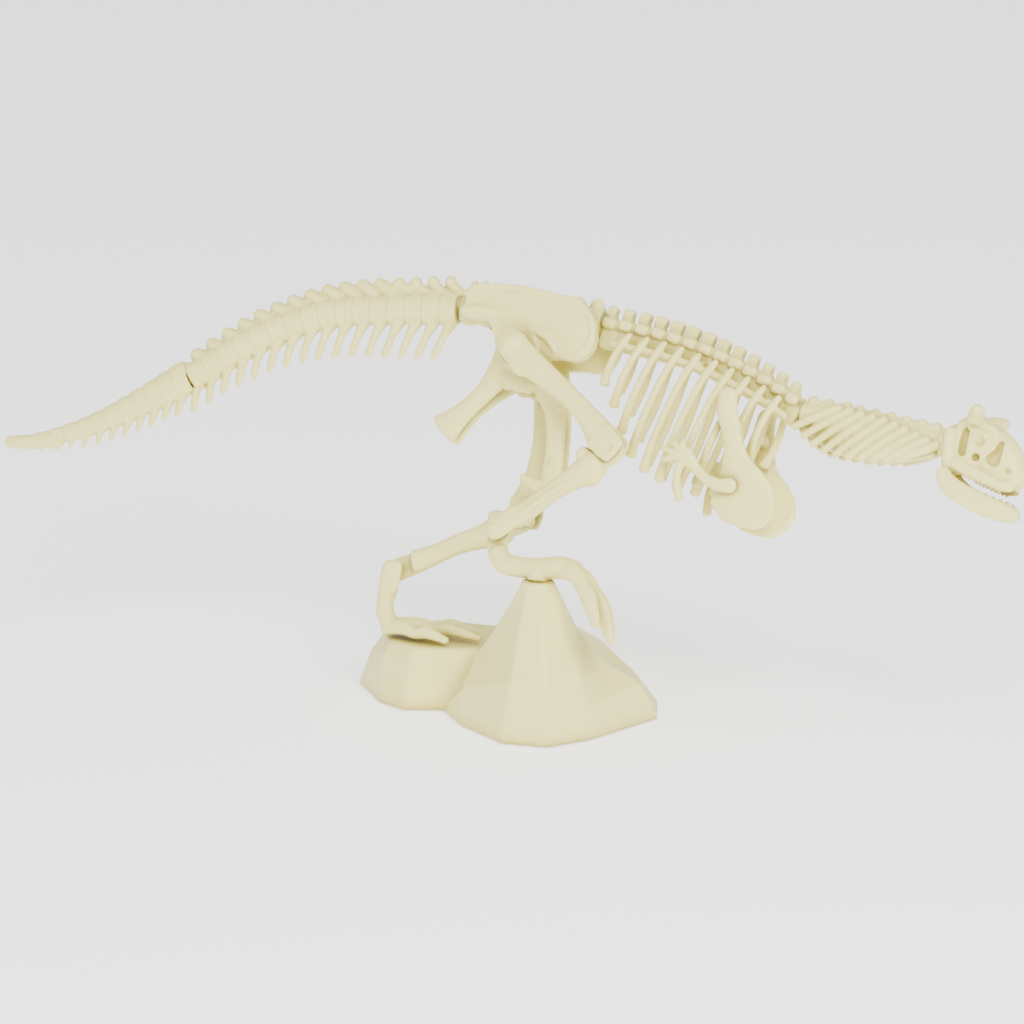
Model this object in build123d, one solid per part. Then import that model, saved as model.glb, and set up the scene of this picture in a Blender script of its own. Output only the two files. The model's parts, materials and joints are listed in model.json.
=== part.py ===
from build123d import *

# Snap-together skeleton of a horned, two-legged dinosaur that strides over a hollow rock stand.
#
# Every bone is drawn in the body frame: X runs forward along the back, Y to the animal's left and Z
# up, with the origin midway between the two hip joints. The skeleton is then leaned over sideways and
# lifted onto the stand, and the model is moved so that its origin lies at table height under the
# middle of its bounding box. Lengths are in millimetres and angles in degrees.

import os
from math import cos, radians, sin

# ---- pose of the whole skeleton ------------------------------------------------------------------
hip_height = 100.0  # of the hip joints' midpoint above the table
side_lean = 24.0  # of the skeleton towards its own left

# ---- fits ----------------------------------------------------------------------------------------
peg_gap = 0.08  # radial clearance of every round peg in its hole
face_gap = 0.3  # between the flat faces of two pieces that turn on each other
blind_gap = 0.5  # left beyond the end of a peg

# ---- legs ----------------------------------------------------------------------------------------
leg_offset = 14.0  # sideways from the middle of the body to the middle of a leg
thigh_length = 45.0
shin_length = 41.5
hip_peg_radius = 2.0
hip_peg_length = 4.2
knee_radius = 4.6
knee_width = 7.0
tongue_width = 2.7
knee_pin_radius = 1.3
ankle_radius = 3.6
ankle_width = 6.0
ankle_pin_radius = 1.1
right_thigh_swing = 54.0  # forward of straight down
left_thigh_swing = 0.0
right_shin_swing = -50.0
left_shin_swing = -64.0

# ---- pelvis --------------------------------------------------------------------------------------
hip_plate_inner = 7.0  # sideways to the inner face of a hip bone
hip_plate_thickness = 3.5
hip_boss_radius = 6.5
hip_boss_height = 0.7
sacrum_half_width = 3.2
sacrum_pin_radius = 1.5
sacrum_pin_length = 2.6
sacrum_pin_places = (-13.0, 15.0)  # along the back
sacrum_middle = 11.0  # height of the pins above the hip joints

# ---- tail, back and neck -------------------------------------------------------------------------
swivel_radius = 1.7  # pegs that let the tail, neck and head turn
swivel_length = 5.0
tail_base_vertebrae = 16
tail_tip_vertebrae = 13
back_vertebrae = 13
neck_vertebrae = 9
tail_root = (-24.5, 12.5)
tail_middle = (-104.5, -16.5)
back_start = (20.5, 10.0)
neck_root = (86.0, -8.0)
skull_root = (130.0, -11.5)

# ---- ribs, shoulders and arms --------------------------------------------------------------------
rib_lengths = (15, 21, 28, 34, 37, 38, 37, 34, 27, 18)
rib_bulges = (2.6, 3.4, 4.0, 4.2, 4.2, 4.2, 4.2, 3.8, 3.2, 2.4)
rib_radius = 1.2
rail_inner = 4.0
rail_thickness = 2.0
rail_depth = 2.6
rail_pin_radius = 0.9
rail_pin_length = 2.4
shoulder_top = (70.0, -7.0)
shoulder_offset = 15.0  # sideways to the top of the blade
shoulder_slope = 14.0  # the plates lean in towards the breast
shoulder_thickness = 2.6
shoulder_pin_radius = 1.2
shoulder_stub = (0.6, -8.2)  # from the top of the shoulder blade to the stub that carries it
shoulder_stub_radius = 2.0
shoulder_stub_length = 6.2
arm_root = (1.5, -25.5)  # from the top of the shoulder blade
arm_pin_radius = 1.3
arm_thickness = 2.8

# ---- head ----------------------------------------------------------------------------------------
skull_width = 11.0
jaw_bar = 1.9
jaw_hinge = (133.0, -20.5)
jaw_pin_radius = 0.9
jaw_cheek = 1.4

# ---- rock stand ----------------------------------------------------------------------------------
rock_wall = 2.2
foot_pin_radius = 2.2
foot_pin_length = 6.0
foot_pin_offset = (15.4, -12.9)  # from the right ankle to the top of the rock, body frame
rock_clearance = 0.4  # under the free left foot
ledge_height = 18.5
peak_radius = 4.6


# ---- helpers -------------------------------------------------------------------------------------
def limb(*stations):
    """Smooth bone through oval sections, each (x, y, z, half width across the body, half depth)."""
    centres = [Vector(x, y, z) for x, y, z, _, _ in stations]
    sections = []
    for index, (_, _, _, half_width, half_depth) in enumerate(stations):
        before = centres[max(index - 1, 0)]
        after = centres[min(index + 1, len(centres) - 1)]
        across = Plane(origin=centres[index], x_dir=(0, 1, 0), z_dir=after - before)
        oval = scale(Circle(1.0), by=(half_width, half_depth, 1.0))
        sections.append(across * oval)
    return loft(sections)


def pin(x, z, y_from, y_to, radius):
    """Round bar lying straight across the body."""
    across = Plane(origin=(x, min(y_from, y_to), z), x_dir=(1, 0, 0), z_dir=(0, 1, 0))
    return across * Cylinder(radius, abs(y_to - y_from), align=(Align.CENTER, Align.CENTER, Align.MIN))


def rod(start, end, radius):
    """Round bar between two points."""
    along = Vector(*end) - Vector(*start)
    across = Plane(origin=start, z_dir=along)
    return across * Cylinder(radius, along.length, align=(Align.CENTER, Align.CENTER, Align.MIN))


def block(x_from, x_to, y_from, y_to, z_from, z_to):
    """Box between two corners."""
    middle = ((x_from + x_to) / 2, (y_from + y_to) / 2, (z_from + z_to) / 2)
    return Pos(*middle) * Box(abs(x_to - x_from), abs(y_to - y_from), abs(z_to - z_from))


def plate(outline, y_from, y_to):
    """Flat bone with a smooth side outline, given as (x, z) points."""
    face = Plane.XZ * make_face(Spline(*outline, periodic=True))
    low = min(y_from, y_to)
    return Pos(0, low, 0) * extrude(face, amount=abs(y_to - y_from), dir=(0, 1, 0))


def join(first, *others):
    """One solid out of several that overlap."""
    return first.fuse(*others)


def trim(shape, place, direction):
    """Cut away all that lies beyond a flat plane through place, in the given direction."""
    reach = 60.0
    plane = Plane(origin=place, x_dir=(0, 1, 0), z_dir=direction)
    return shape - plane * (Pos(0, 0, reach / 2) * Box(reach, reach, reach))


def left_of(shape):
    """The left-hand twin of a right-hand bone."""
    return mirror(shape, about=Plane.XZ)


def between(points, share):
    """Point at a share of the way along a polyline given as tuples."""
    lengths = [(Vector(*b) - Vector(*a)).length for a, b in zip(points, points[1:])]
    rest = share * sum(lengths)
    for (a, b), length in zip(zip(points, points[1:]), lengths):
        if rest <= length:
            return Vector(*a) + (Vector(*b) - Vector(*a)) * (rest / length)
        rest -= length
    return Vector(*points[-1])


def swing(shape, x, z, angle):
    """Turn a bone that hangs straight down about a crosswise axis; positive swings it forward."""
    return Pos(x, 0, z) * (Rot(0, -angle, 0) * shape)


def to_world(shape):
    """Lean the skeleton over and lift it to its height above the table."""
    return Pos(0, 0, hip_height) * (Rot(-side_lean, 0, 0) * shape)


def world_point(x, y, z):
    """World place of a body frame point."""
    lean = radians(side_lean)
    return (x, y * cos(lean) + z * sin(lean), hip_height - y * sin(lean) + z * cos(lean))


def body_point(x, y, z):
    """Body frame place of a world point."""
    lean = radians(side_lean)
    up = z - hip_height
    return (x, y * cos(lean) - up * sin(lean), y * sin(lean) + up * cos(lean))


# ---- joint places in the body frame ---------------------------------------------------------------
def below(x, z, length, angle):
    """End of a bone that hangs from (x, z) and is swung forward by an angle."""
    return (x + length * sin(radians(angle)), z - length * cos(radians(angle)))


right_knee = below(0, 0, thigh_length, right_thigh_swing)
left_knee = below(0, 0, thigh_length, left_thigh_swing)
right_ankle = below(*right_knee, shin_length, right_shin_swing)
left_ankle = below(*left_knee, shin_length, left_shin_swing)
foot_pin_place = (right_ankle[0] + foot_pin_offset[0], right_ankle[1] + foot_pin_offset[1])


# ---- thighs and shins -------------------------------------------------------------------------------
def thigh():
    """Right femur hanging straight down from its hip peg, with a forked lower end."""
    y = -leg_offset
    head_inner = -(hip_plate_inner + hip_plate_thickness + hip_boss_height + face_gap)
    head = pin(0, 0, head_inner, head_inner - 4.6, 5.2)
    peg = pin(0, 0, head_inner, head_inner + hip_peg_length, hip_peg_radius)
    length = thigh_length
    shaft = limb(
        (0, y, -2.0, 2.3, 4.6),
        (1.2, y, -0.25 * length, 2.5, 3.3),
        (1.4, y, -0.55 * length, 2.4, 2.7),
        (0.2, y, -0.80 * length, 2.9, 3.5),
        (0, y, -length + 2.0, 3.4, 4.2),
    )
    knuckle = pin(0, -length, y - knee_width / 2, y + knee_width / 2, knee_radius)
    bone = join(head, peg, shaft, knuckle)
    slot_half = tongue_width / 2 + face_gap
    bone -= pin(0, -length, y - slot_half, y + slot_half, knee_radius + 0.8)
    return join(bone, pin(0, -length, y - slot_half, y + slot_half, knee_pin_radius))


def shin():
    """Right tibia hanging from a tongue at the knee, halved at the ankle for the foot's lap."""
    y = -leg_offset
    length = shin_length
    shaft_top = knee_radius + 1.4
    shaft_end = length - ankle_radius - 2.6
    tongue = pin(0, 0, y - tongue_width / 2, y + tongue_width / 2, knee_radius - 0.5)
    neck_bar = block(-2.2, 2.2, y - tongue_width / 2, y + tongue_width / 2, -shaft_top - 2.0, -1.0)
    shaft = limb(
        (0, y, -shaft_top, 3.1, 4.6),
        (-0.6, y, -0.34 * length, 2.5, 3.3),
        (-0.2, y, -0.62 * length, 2.2, 2.6),
        (0, y, -shaft_end, 2.7, 3.1),
    )
    lap_from = y - face_gap / 2
    lap_to = y - ankle_width / 2
    lap = join(
        pin(0, -length, lap_from, lap_to, ankle_radius),
        block(-2.4, 2.4, lap_from, lap_to, -length, -shaft_end + 2.0),
    )
    peg = pin(0, -length, lap_from, y + ankle_width / 2 - blind_gap, ankle_pin_radius)
    bone = join(tongue, neck_bar, shaft, lap, peg)
    return bone - pin(0, 0, y - tongue_width, y + tongue_width, knee_pin_radius + peg_gap)


# ---- feet -------------------------------------------------------------------------------------------
def ankle_lap(x, z, reach_x, reach_z):
    """Inner half of an ankle, from its axis out to where the foot takes its full width."""
    y_from = -leg_offset + face_gap / 2
    y_to = -leg_offset + ankle_width / 2
    y = (y_from + y_to) / 2
    half = (y_to - y_from) / 2
    disc = pin(x, z, y_from, y_to, ankle_radius)
    end_x, end_z = x + 7.5 * reach_x, z + 7.5 * reach_z
    side_x, side_z = 2.3 * reach_z, -2.3 * reach_x
    corners = [
        (x + side_x, z + side_z),
        (x - side_x, z - side_z),
        (end_x - side_x, end_z - side_z),
        (end_x + side_x, end_z + side_z),
    ]
    face = Plane.XZ * make_face(Polyline(*corners, close=True))
    arm = Pos(0, y - half, 0) * extrude(face, amount=2 * half, dir=(0, 1, 0))
    return join(disc, arm)


def right_foot():
    """Foot pinned flat on top of the rock, with its toes hanging down the far slope."""
    y = -leg_offset
    x, z = right_ankle
    lap = ankle_lap(x, z, 0.25, -0.968)
    sole = limb(
        (x + 1.2, y, z - 6.0, 2.7, 3.2),
        (x + 5.0, y, z - 8.6, 2.8, 2.9),
        (x + 10.5, y, z - 9.4, 3.0, 2.8),
        (x + 16.0, y, z - 9.6, 3.4, 2.6),
        (x + 22.0, y, z - 9.2, 3.6, 2.4),
    )
    toe_start = (x + 20.0, z - 9.3)
    toes = []
    for spread, reach in ((-4.5, 0.80), (0.0, 1.0), (4.5, 0.86)):
        toes.append(
            limb(
                (toe_start[0], y + 0.3 * spread, toe_start[1], 1.5, 2.3),
                (toe_start[0] + 7.0 * reach, y + 0.7 * spread, toe_start[1] - 1.9 * reach, 1.6, 2.1),
                (toe_start[0] + 13.5 * reach, y + 1.0 * spread, toe_start[1] - 8.0 * reach, 1.5, 1.9),
                (toe_start[0] + 18.0 * reach, y + 1.1 * spread, toe_start[1] - 15.0 * reach, 1.3, 1.6),
                (toe_start[0] + 20.8 * reach, y + 1.15 * spread, toe_start[1] - 20.5 * reach, 0.6, 0.8),
            )
        )
    foot = to_world(join(lap, sole, *toes))
    foot -= to_world(pin(x, z, y - 1.0, y + ankle_width, ankle_pin_radius + peg_gap))
    peg_x, peg_y, peg_z = world_point(foot_pin_place[0], y, foot_pin_place[1])
    stem_height = 4.5
    stem = Pos(peg_x, peg_y, peg_z + stem_height / 2) * Cylinder(peak_radius - 1.0, stem_height)
    peg = Pos(peg_x, peg_y, peg_z - foot_pin_length / 2) * Cylinder(foot_pin_radius, foot_pin_length)
    return join(foot, stem, peg)


def left_foot():
    """Foot that stands level on the low ledge of the rock."""
    x, z = left_ankle
    lap = left_of(ankle_lap(x, z, -0.1, -0.995))
    heel_world = world_point(x + 2.5, leg_offset, z - 17.0)
    sole_height = ledge_height + rock_clearance
    ball = body_point(heel_world[0], heel_world[1], sole_height + 2.6)
    shank = limb(
        (x - 0.9, leg_offset, z - 6.2, 2.7, 3.0),
        (x - 1.2, leg_offset, z - 10.0, 2.5, 2.5),
        (x + 0.4, ball[1], z - 14.5, 2.9, 2.6),
        (x + 2.6, ball[1], ball[2], 2.4, 2.2),
    )
    foot = to_world(join(lap, shank))
    toes = []
    for spread, reach in ((-4.0, 0.72), (1.5, 1.0), (7.0, 0.86)):
        toe = limb(
            (heel_world[0] - 1.5, heel_world[1] + 0.2 * spread, sole_height + 2.6, 1.6, 2.4),
            (heel_world[0] + 8.0 * reach, heel_world[1] + 0.6 * spread, sole_height + 2.3, 1.6, 2.0),
            (heel_world[0] + 18.0 * reach, heel_world[1] + spread, sole_height + 2.8, 1.5, 1.8),
            (heel_world[0] + 28.0 * reach, heel_world[1] + 1.1 * spread, sole_height + 1.0, 0.7, 0.7),
        )
        toes.append(toe)
    foot = trim(join(foot, *toes), (heel_world[0], heel_world[1], sole_height), (0, 0, -1))
    hole = left_of(pin(x, z, -leg_offset - 1.0, -leg_offset + ankle_width, ankle_pin_radius + peg_gap))
    return foot - to_world(hole)


# ---- pelvis -----------------------------------------------------------------------------------------
def right_hip():
    """Ilium plate with the socket for the thigh, and half of the pubis and of the ischium."""
    inner = -hip_plate_inner
    outer = inner - hip_plate_thickness
    outline = [
        (-20, 15.5), (-9, 18.6), (2, 18.6), (13, 17), (20, 14), (24, 6.5), (23, 0.5),
        (18.5, -1), (13, 1.5), (6, -3), (0, -5.5), (-6, -2.5), (-10, 5), (-17, 8),
    ]
    ilium = plate(outline, outer, inner)
    boss = pin(0, 0, inner, outer - hip_boss_height, hip_boss_radius)
    ischium = limb(
        (-2.0, -8.5, -1.0, 1.7, 3.6),
        (-9.5, -7.2, -8.0, 1.7, 3.2),
        (-15.5, -5.2, -14.5, 1.6, 2.4),
        (-20.0, -3.7, -20.0, 1.9, 3.0),
        (-23.0, -3.0, -24.5, 2.4, 4.6),
    )
    pubis = limb(
        (3.0, -8.5, -1.5, 1.7, 3.6),
        (8.0, -7.0, -9.0, 1.7, 2.9),
        (10.3, -5.0, -18.0, 1.6, 2.3),
        (11.0, -3.4, -29.0, 1.6, 2.1),
        (11.3, -2.8, -37.5, 2.0, 2.6),
    )
    boot = limb(
        (13.5, -2.8, -37.0, 2.1, 2.6),
        (8.5, -2.8, -36.6, 2.0, 2.4),
        (4.5, -2.8, -35.0, 1.2, 1.3),
    )
    bone = join(ilium, boss, ischium, pubis, boot)
    bone -= pin(0, 0, inner + 1.0, outer - 2.0, hip_peg_radius + peg_gap)
    for x in sacrum_pin_places:
        bone = join(bone, pin(x, sacrum_middle, outer + 1.0, inner + sacrum_pin_length, sacrum_pin_radius))
    return bone


def sacrum():
    """Fused vertebrae between the two hip bones, with wings that meet them face to face."""
    start = tail_root[0] + face_gap
    end = back_start[0]
    middle = sacrum_middle
    core = limb(
        (start - 1.0, 0, tail_root[1], sacrum_half_width, 5.0),
        (0, 0, middle + 0.5, sacrum_half_width, 5.2),
        (end + 1.0, 0, back_start[1] + 0.5, sacrum_half_width, 5.0),
    )
    pieces = []
    for x in sacrum_pin_places:
        pieces.append(block(x - 3.2, x + 3.2, -hip_plate_inner, hip_plate_inner, middle - 3, middle + 3))
    crest_count = 6
    for index in range(crest_count):
        x = start + 4.5 + index * (end - start - 9.0) / (crest_count - 1)
        pieces.append(
            limb((x, 0, middle + 2.0, 1.3, 2.6), (x - 1.0, 0, middle + 6.5, 1.3, 2.6))
        )
    bone = join(core, *pieces)
    bone = trim(bone, (start, 0, middle), (-1, 0, 0))
    bone = trim(bone, (end - face_gap, 0, middle), (1, 0, 0))
    for x in sacrum_pin_places:
        for side in (-1, 1):
            depth = hip_plate_inner - sacrum_pin_length - blind_gap
            bone -= pin(x, middle, side * (hip_plate_inner + 1), side * depth, sacrum_pin_radius + peg_gap)
    tail_hole = rod((start - 1, 0, tail_root[1]), (start + swivel_length + blind_gap, 0, tail_root[1]),
                    swivel_radius + peg_gap)
    back_hole = rod((end + 1, 0, back_start[1]), (end - swivel_length - blind_gap, 0, back_start[1]),
                    swivel_radius + peg_gap)
    return bone - tail_hole - back_hole


# ---- tail -------------------------------------------------------------------------------------------
def vertebra_row(line, shares, half_widths, half_depths, disc_share):
    """Round seams round a spine: a thin, slightly larger disc at every share along the line."""
    discs = []
    for share in shares:
        here = between(line, share)
        along = between(line, min(share + 0.01, 1.0)) - between(line, max(share - 0.01, 0.0))
        half_width = half_widths[0] + (half_widths[1] - half_widths[0]) * share
        half_depth = half_depths[0] + (half_depths[1] - half_depths[0]) * share
        across = Plane(origin=here, x_dir=(0, 1, 0), z_dir=along)
        oval = across * scale(Circle(1.0), by=(half_width, half_depth, 1.0))
        discs.append(extrude(oval, amount=disc_share, both=True))
    return discs


def tail_base():
    """Front two thirds of the tail: centra, a ridge of spines above and chevrons below."""
    x0, z0 = tail_root
    x1, z1 = tail_middle
    start = x0 - face_gap
    line = [(start, 0, z0 - 0.5), (-45, 0, 10.5), (-66, 0, 6.2), (-86, 0, -2.5), (x1, 0, z1 + 0.5)]
    core = limb(
        (start + 1.0, 0, z0 - 0.5, 3.4, 5.0),
        (-45, 0, 10.5, 3.3, 4.9),
        (-66, 0, 6.2, 3.1, 4.8),
        (-86, 0, -2.5, 2.9, 4.8),
        (x1 - 1.0, 0, z1 - 0.2, 2.8, 4.6),
    )
    count = tail_base_vertebrae
    shares = [(index + 0.5) / count for index in range(count)]
    pieces = vertebra_row(line, shares, (3.9, 3.3), (5.3, 5.0), 1.1)
    for share in shares:
        here = between(line, share)
        top = 8.4 - 3.2 * share
        pieces.append(
            limb(
                (here.X + 1.0, 0, here.Z + 3.0, 1.5, 2.3),
                (here.X - 1.6, 0, here.Z + top, 1.2, 1.9),
            )
        )
        drop = 16.0 - 5.0 * share
        back = 5.0 + 3.0 * share
        pieces.append(
            limb(
                (here.X - 0.5, 0, here.Z - 3.5, 1.2, 1.3),
                (here.X - 0.6 * back, 0, here.Z - 0.62 * drop, 1.0, 1.2),
                (here.X - back, 0, here.Z - drop, 0.6, 0.6),
            )
        )
    along = Vector(-86 - x1, 0, -3.0 - z1).normalized()
    bone = join(core, *pieces)
    bone = trim(bone, (start, 0, z0), (1, 0, 0))
    bone = trim(bone, (x1, 0, z1), (-along.X, 0, -along.Z))
    bone = join(bone, rod((start - 1.0, 0, z0), (x0 + face_gap + swivel_length, 0, z0), swivel_radius))
    depth = swivel_length + blind_gap
    inner = (x1 + along.X * depth, 0, z1 + along.Z * depth)
    outer = (x1 - along.X * 6.0, 0, z1 - along.Z * 6.0)
    return bone - rod(inner, outer, swivel_radius + peg_gap)


def tail_tip():
    """Last third of the tail, running down to a blunt point."""
    x1, z1 = tail_middle
    along = Vector(-86 - x1, 0, -3.0 - z1).normalized()
    start = (x1 - along.X * face_gap, z1 + 0.5 - along.Z * face_gap)
    line = [(start[0], 0, start[1]), (-118, 0, -25.5), (-133, 0, -34.0), (-148, 0, -39.5), (-158, 0, -41.5)]
    core = limb(
        (start[0] + along.X, 0, start[1] + along.Z, 3.0, 5.3),
        (-118, 0, -25.5, 2.7, 4.6),
        (-133, 0, -34.0, 2.2, 3.4),
        (-148, 0, -39.5, 1.8, 2.2),
        (-158, 0, -41.5, 1.1, 1.1),
    )
    count = tail_tip_vertebrae
    shares = [(index + 0.3) / count for index in range(count)]
    pieces = vertebra_row(line, shares, (3.3, 1.4), (5.5, 1.3), 0.9)
    for share in shares[:-2]:
        here = between(line, share)
        drop = 10.5 - 7.5 * share
        back = 4.0 - 1.5 * share
        pieces.append(
            limb(
                (here.X, 0, here.Z - 1.0, 1.0, 1.6),
                (here.X - back, 0, here.Z - drop, 0.5, 0.6),
            )
        )
    root_depth = face_gap + 1.5
    peg_from = (x1 - along.X * root_depth, 0, z1 - along.Z * root_depth)
    peg_to = (x1 + along.X * swivel_length, 0, z1 + along.Z * swivel_length)
    bone = trim(join(core, *pieces), (start[0], 0, start[1]), (along.X, 0, along.Z))
    return join(bone, rod(peg_from, peg_to, swivel_radius))


# ---- back -------------------------------------------------------------------------------------------
back_line = [
    (back_start[0], 0, back_start[1]), (38, 0, 8.2), (50, 0, 6.0), (62, 0, 2.6),
    (74, 0, -2.2), (neck_root[0] - face_gap, 0, neck_root[1]),
]
rail_shares = (0.12, 0.5, 0.86)


def back():
    """Dorsal spine: centra, knobbed spines, side knobs and the pads that carry the ribs."""
    x0, z0 = back_start
    x1, z1 = neck_root
    core = limb(*[(x, y, z, 2.6, 3.4) for x, y, z in back_line])
    count = back_vertebrae
    side = rail_inner - 0.1
    pieces = []
    for index in range(count):
        here = between(back_line, (index + 0.5) / count)
        pieces.append(
            limb(
                (here.X + 0.4, 0, here.Z + 1.5, 1.4, 1.9),
                (here.X - 0.4, 0, here.Z + 4.6, 1.2, 1.5),
                (here.X - 0.8, 0, here.Z + 6.6, 1.5, 1.8),
            )
        )
        pieces.append(rod((here.X, -side, here.Z + 3.9), (here.X, side, here.Z + 3.9), 1.2))
    for share in rail_shares:
        here = between(back_line, share)
        pieces.append(block(here.X - 2, here.X + 2, -rail_inner, rail_inner, here.Z - 2.2, here.Z + 0.6))
    bone = join(core, *pieces)
    bone = trim(bone, (x0, 0, z0), (-1, 0, 0))
    bone = trim(bone, (x1 - face_gap, 0, z1), (1, 0, 0))
    for share in rail_shares:
        here = between(back_line, share)
        for hand in (-1, 1):
            depth = rail_inner - rail_pin_length - 0.2
            hole_z = here.Z - 0.8
            bone -= pin(here.X, hole_z, hand * (rail_inner + 1), hand * depth, rail_pin_radius + peg_gap)
    bone = join(bone, rod((x0 + 1, 0, z0), (x0 - swivel_length, 0, z0), swivel_radius))
    hole = rod((x1 + 3, 0, z1), (x1 - swivel_length - blind_gap - face_gap, 0, z1), swivel_radius + peg_gap)
    return bone - hole


def right_ribs():
    """Ribs of one side, moulded together on a thin rail that pins to the spine."""
    y_inner = -rail_inner
    y_outer = -(rail_inner + rail_thickness)
    y_middle = (y_inner + y_outer) / 2
    upper = []
    lower = []
    for x, _, z in back_line[:-1]:
        upper.append((x + 4.0, z - 0.8 + rail_depth / 2))
        lower.append((x + 4.0, z - 0.8 - rail_depth / 2))
    face = Plane.XZ * make_face(Polyline(*upper, *reversed(lower), close=True))
    rail = Pos(0, y_outer, 0) * extrude(face, amount=rail_thickness, dir=(0, 1, 0))
    pieces = []
    for index, (length, bulge) in enumerate(zip(rib_lengths, rib_bulges)):
        head = between(back_line, 0.13 + 0.084 * index)
        x, z = head.X, head.Z - 0.6
        lean = 0.20 * length
        pieces.append(
            limb(
                (x + 0.9, y_middle - 0.3, z + 2.4, 0.9, 1.2),
                (x - 0.1 * lean, y_middle - 0.3 - 0.15 * bulge, z - 1.0, 0.95, rib_radius),
                (x - 0.3 * lean, y_middle - 0.85 * bulge, z - 0.25 * length, 0.95, rib_radius),
                (x - 0.55 * lean, y_middle - bulge, z - 0.52 * length, 0.95, rib_radius),
                (x - 0.8 * lean, y_middle - 0.8 * bulge, z - 0.78 * length, 0.95, rib_radius),
                (x - lean, y_middle - 0.4 * bulge, z - length, 1.1, rib_radius + 0.3),
            )
        )
    for share in rail_shares:
        here = between(back_line, share)
        pieces.append(pin(here.X, here.Z - 0.8, y_middle, y_inner + rail_pin_length, rail_pin_radius))
    half = shoulder_thickness / 2
    pieces.append(to_shoulder(pin(*shoulder_stub, half, half + shoulder_stub_length, shoulder_stub_radius)))
    pieces.append(to_shoulder(pin(*shoulder_stub, half + 1.0, 0.2 - half, shoulder_pin_radius)))
    return join(rail, *pieces)


# ---- shoulders and arms -----------------------------------------------------------------------------
def to_shoulder(shape):
    """From the flat plane of the right shoulder plate to the body frame."""
    x, z = shoulder_top
    return Pos(x, -shoulder_offset, z) * (Rot(shoulder_slope, 0, 0) * shape)


def right_shoulder():
    """Shoulder blade and breast plate in one, with a pin that snaps between two ribs."""
    outline = [
        (-5, 0.5), (0, 1.5), (3.8, -3.5), (4.4, -12), (8, -18), (13.5, -23), (15.5, -31),
        (12, -36), (5, -37.5), (-2, -33), (-5.5, -27), (-3, -19), (-1, -12), (-3.5, -5),
    ]
    half = shoulder_thickness / 2
    bone = plate(outline, -half, half)
    bone -= pin(*arm_root, -half - 1, half + 1, arm_pin_radius + peg_gap)
    bone -= pin(*shoulder_stub, -half - 1, half + 1, shoulder_pin_radius + peg_gap)
    return to_shoulder(bone)


def right_arm():
    """Short arm and hand with spread fingers, turning on a pin in the shoulder."""
    x, z = arm_root
    inner = -(shoulder_thickness / 2 + face_gap)
    outer = inner - arm_thickness
    y = (inner + outer) / 2
    palm = (x - 14.5, z + 4.5)
    pieces = [
        pin(x, z, y, shoulder_thickness / 2, arm_pin_radius),
        limb(
            (x + 0.5, y, z - 0.2, 1.4, 2.6),
            (x - 6.0, y, z + 1.4, 1.3, 1.9),
            (palm[0], y, palm[1], 1.4, 2.6),
        ),
    ]
    for dx, dz in ((-5.5, -1.5), (-6.0, 2.0), (-3.5, 6.5), (0.5, 6.0)):
        pieces.append(
            limb(
                (palm[0] + 0.8, y, palm[1], 1.1, 1.1),
                (palm[0] + 0.6 * dx, y - 0.4, palm[1] + 0.6 * dz, 0.9, 0.9),
                (palm[0] + dx, y, palm[1] + dz, 0.6, 0.6),
            )
        )
    pieces.append(
        limb(
            (palm[0] + 0.8, y, palm[1] + 1.0, 1.1, 1.3),
            (palm[0] + 0.5, y - 0.3, palm[1] - 5.0, 1.0, 1.4),
            (palm[0] + 2.0, y, palm[1] - 10.0, 0.8, 1.3),
        )
    )
    disc = pin(x, z, inner, outer, 3.4)
    return to_shoulder(join(disc, *pieces))


# ---- neck and head ------------------------------------------------------------------------------------
def neck():
    """Neck with a low row of spines and long swept side ribs."""
    x0, z0 = neck_root
    x1, z1 = skull_root
    line = [(x0, 0, z0), (98, 0, -9.5), (112, 0, -10.5), (x1 - face_gap, 0, z1)]
    core = limb(
        (x0 - 1.0, 0, z0, 3.0, 3.6),
        (98, 0, -9.5, 2.8, 3.4),
        (112, 0, -10.5, 2.6, 3.2),
        (x1 + 1.0, 0, z1, 2.4, 3.0),
    )
    pieces = []
    for index in range(neck_vertebrae):
        share = (index + 0.5) / neck_vertebrae
        here = between(line, share)
        pieces.append(
            limb(
                (here.X, 0, here.Z + 1.5, 1.5, 1.7),
                (here.X - 0.8, 0, here.Z + 6.2 - 1.8 * share, 1.4, 1.5),
            )
        )
        drop = 7.6 - 3.2 * abs(share - 0.45)
        for side in (-1, 1):
            pieces.append(
                limb(
                    (here.X + 2.5, side * 2.6, here.Z + 2.4, 1.0, 1.0),
                    (here.X - 2.0, side * 3.8, here.Z - 0.4 * drop, 0.95, 1.0),
                    (here.X - 7.0, side * 2.4, here.Z - drop, 0.9, 0.8),
                )
            )
    bone = trim(join(core, *pieces), (x0, 0, z0), (-1, 0, 0))
    bone = trim(bone, (x1 - face_gap, 0, z1), (1, 0, 0))
    bone = join(bone, rod((x0 + 1, 0, z0), (x0 - face_gap - swivel_length, 0, z0), swivel_radius))
    peg = rod((x1 - face_gap - 1, 0, z1), (x1 + swivel_length, 0, z1), swivel_radius)
    return join(bone, peg)


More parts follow.
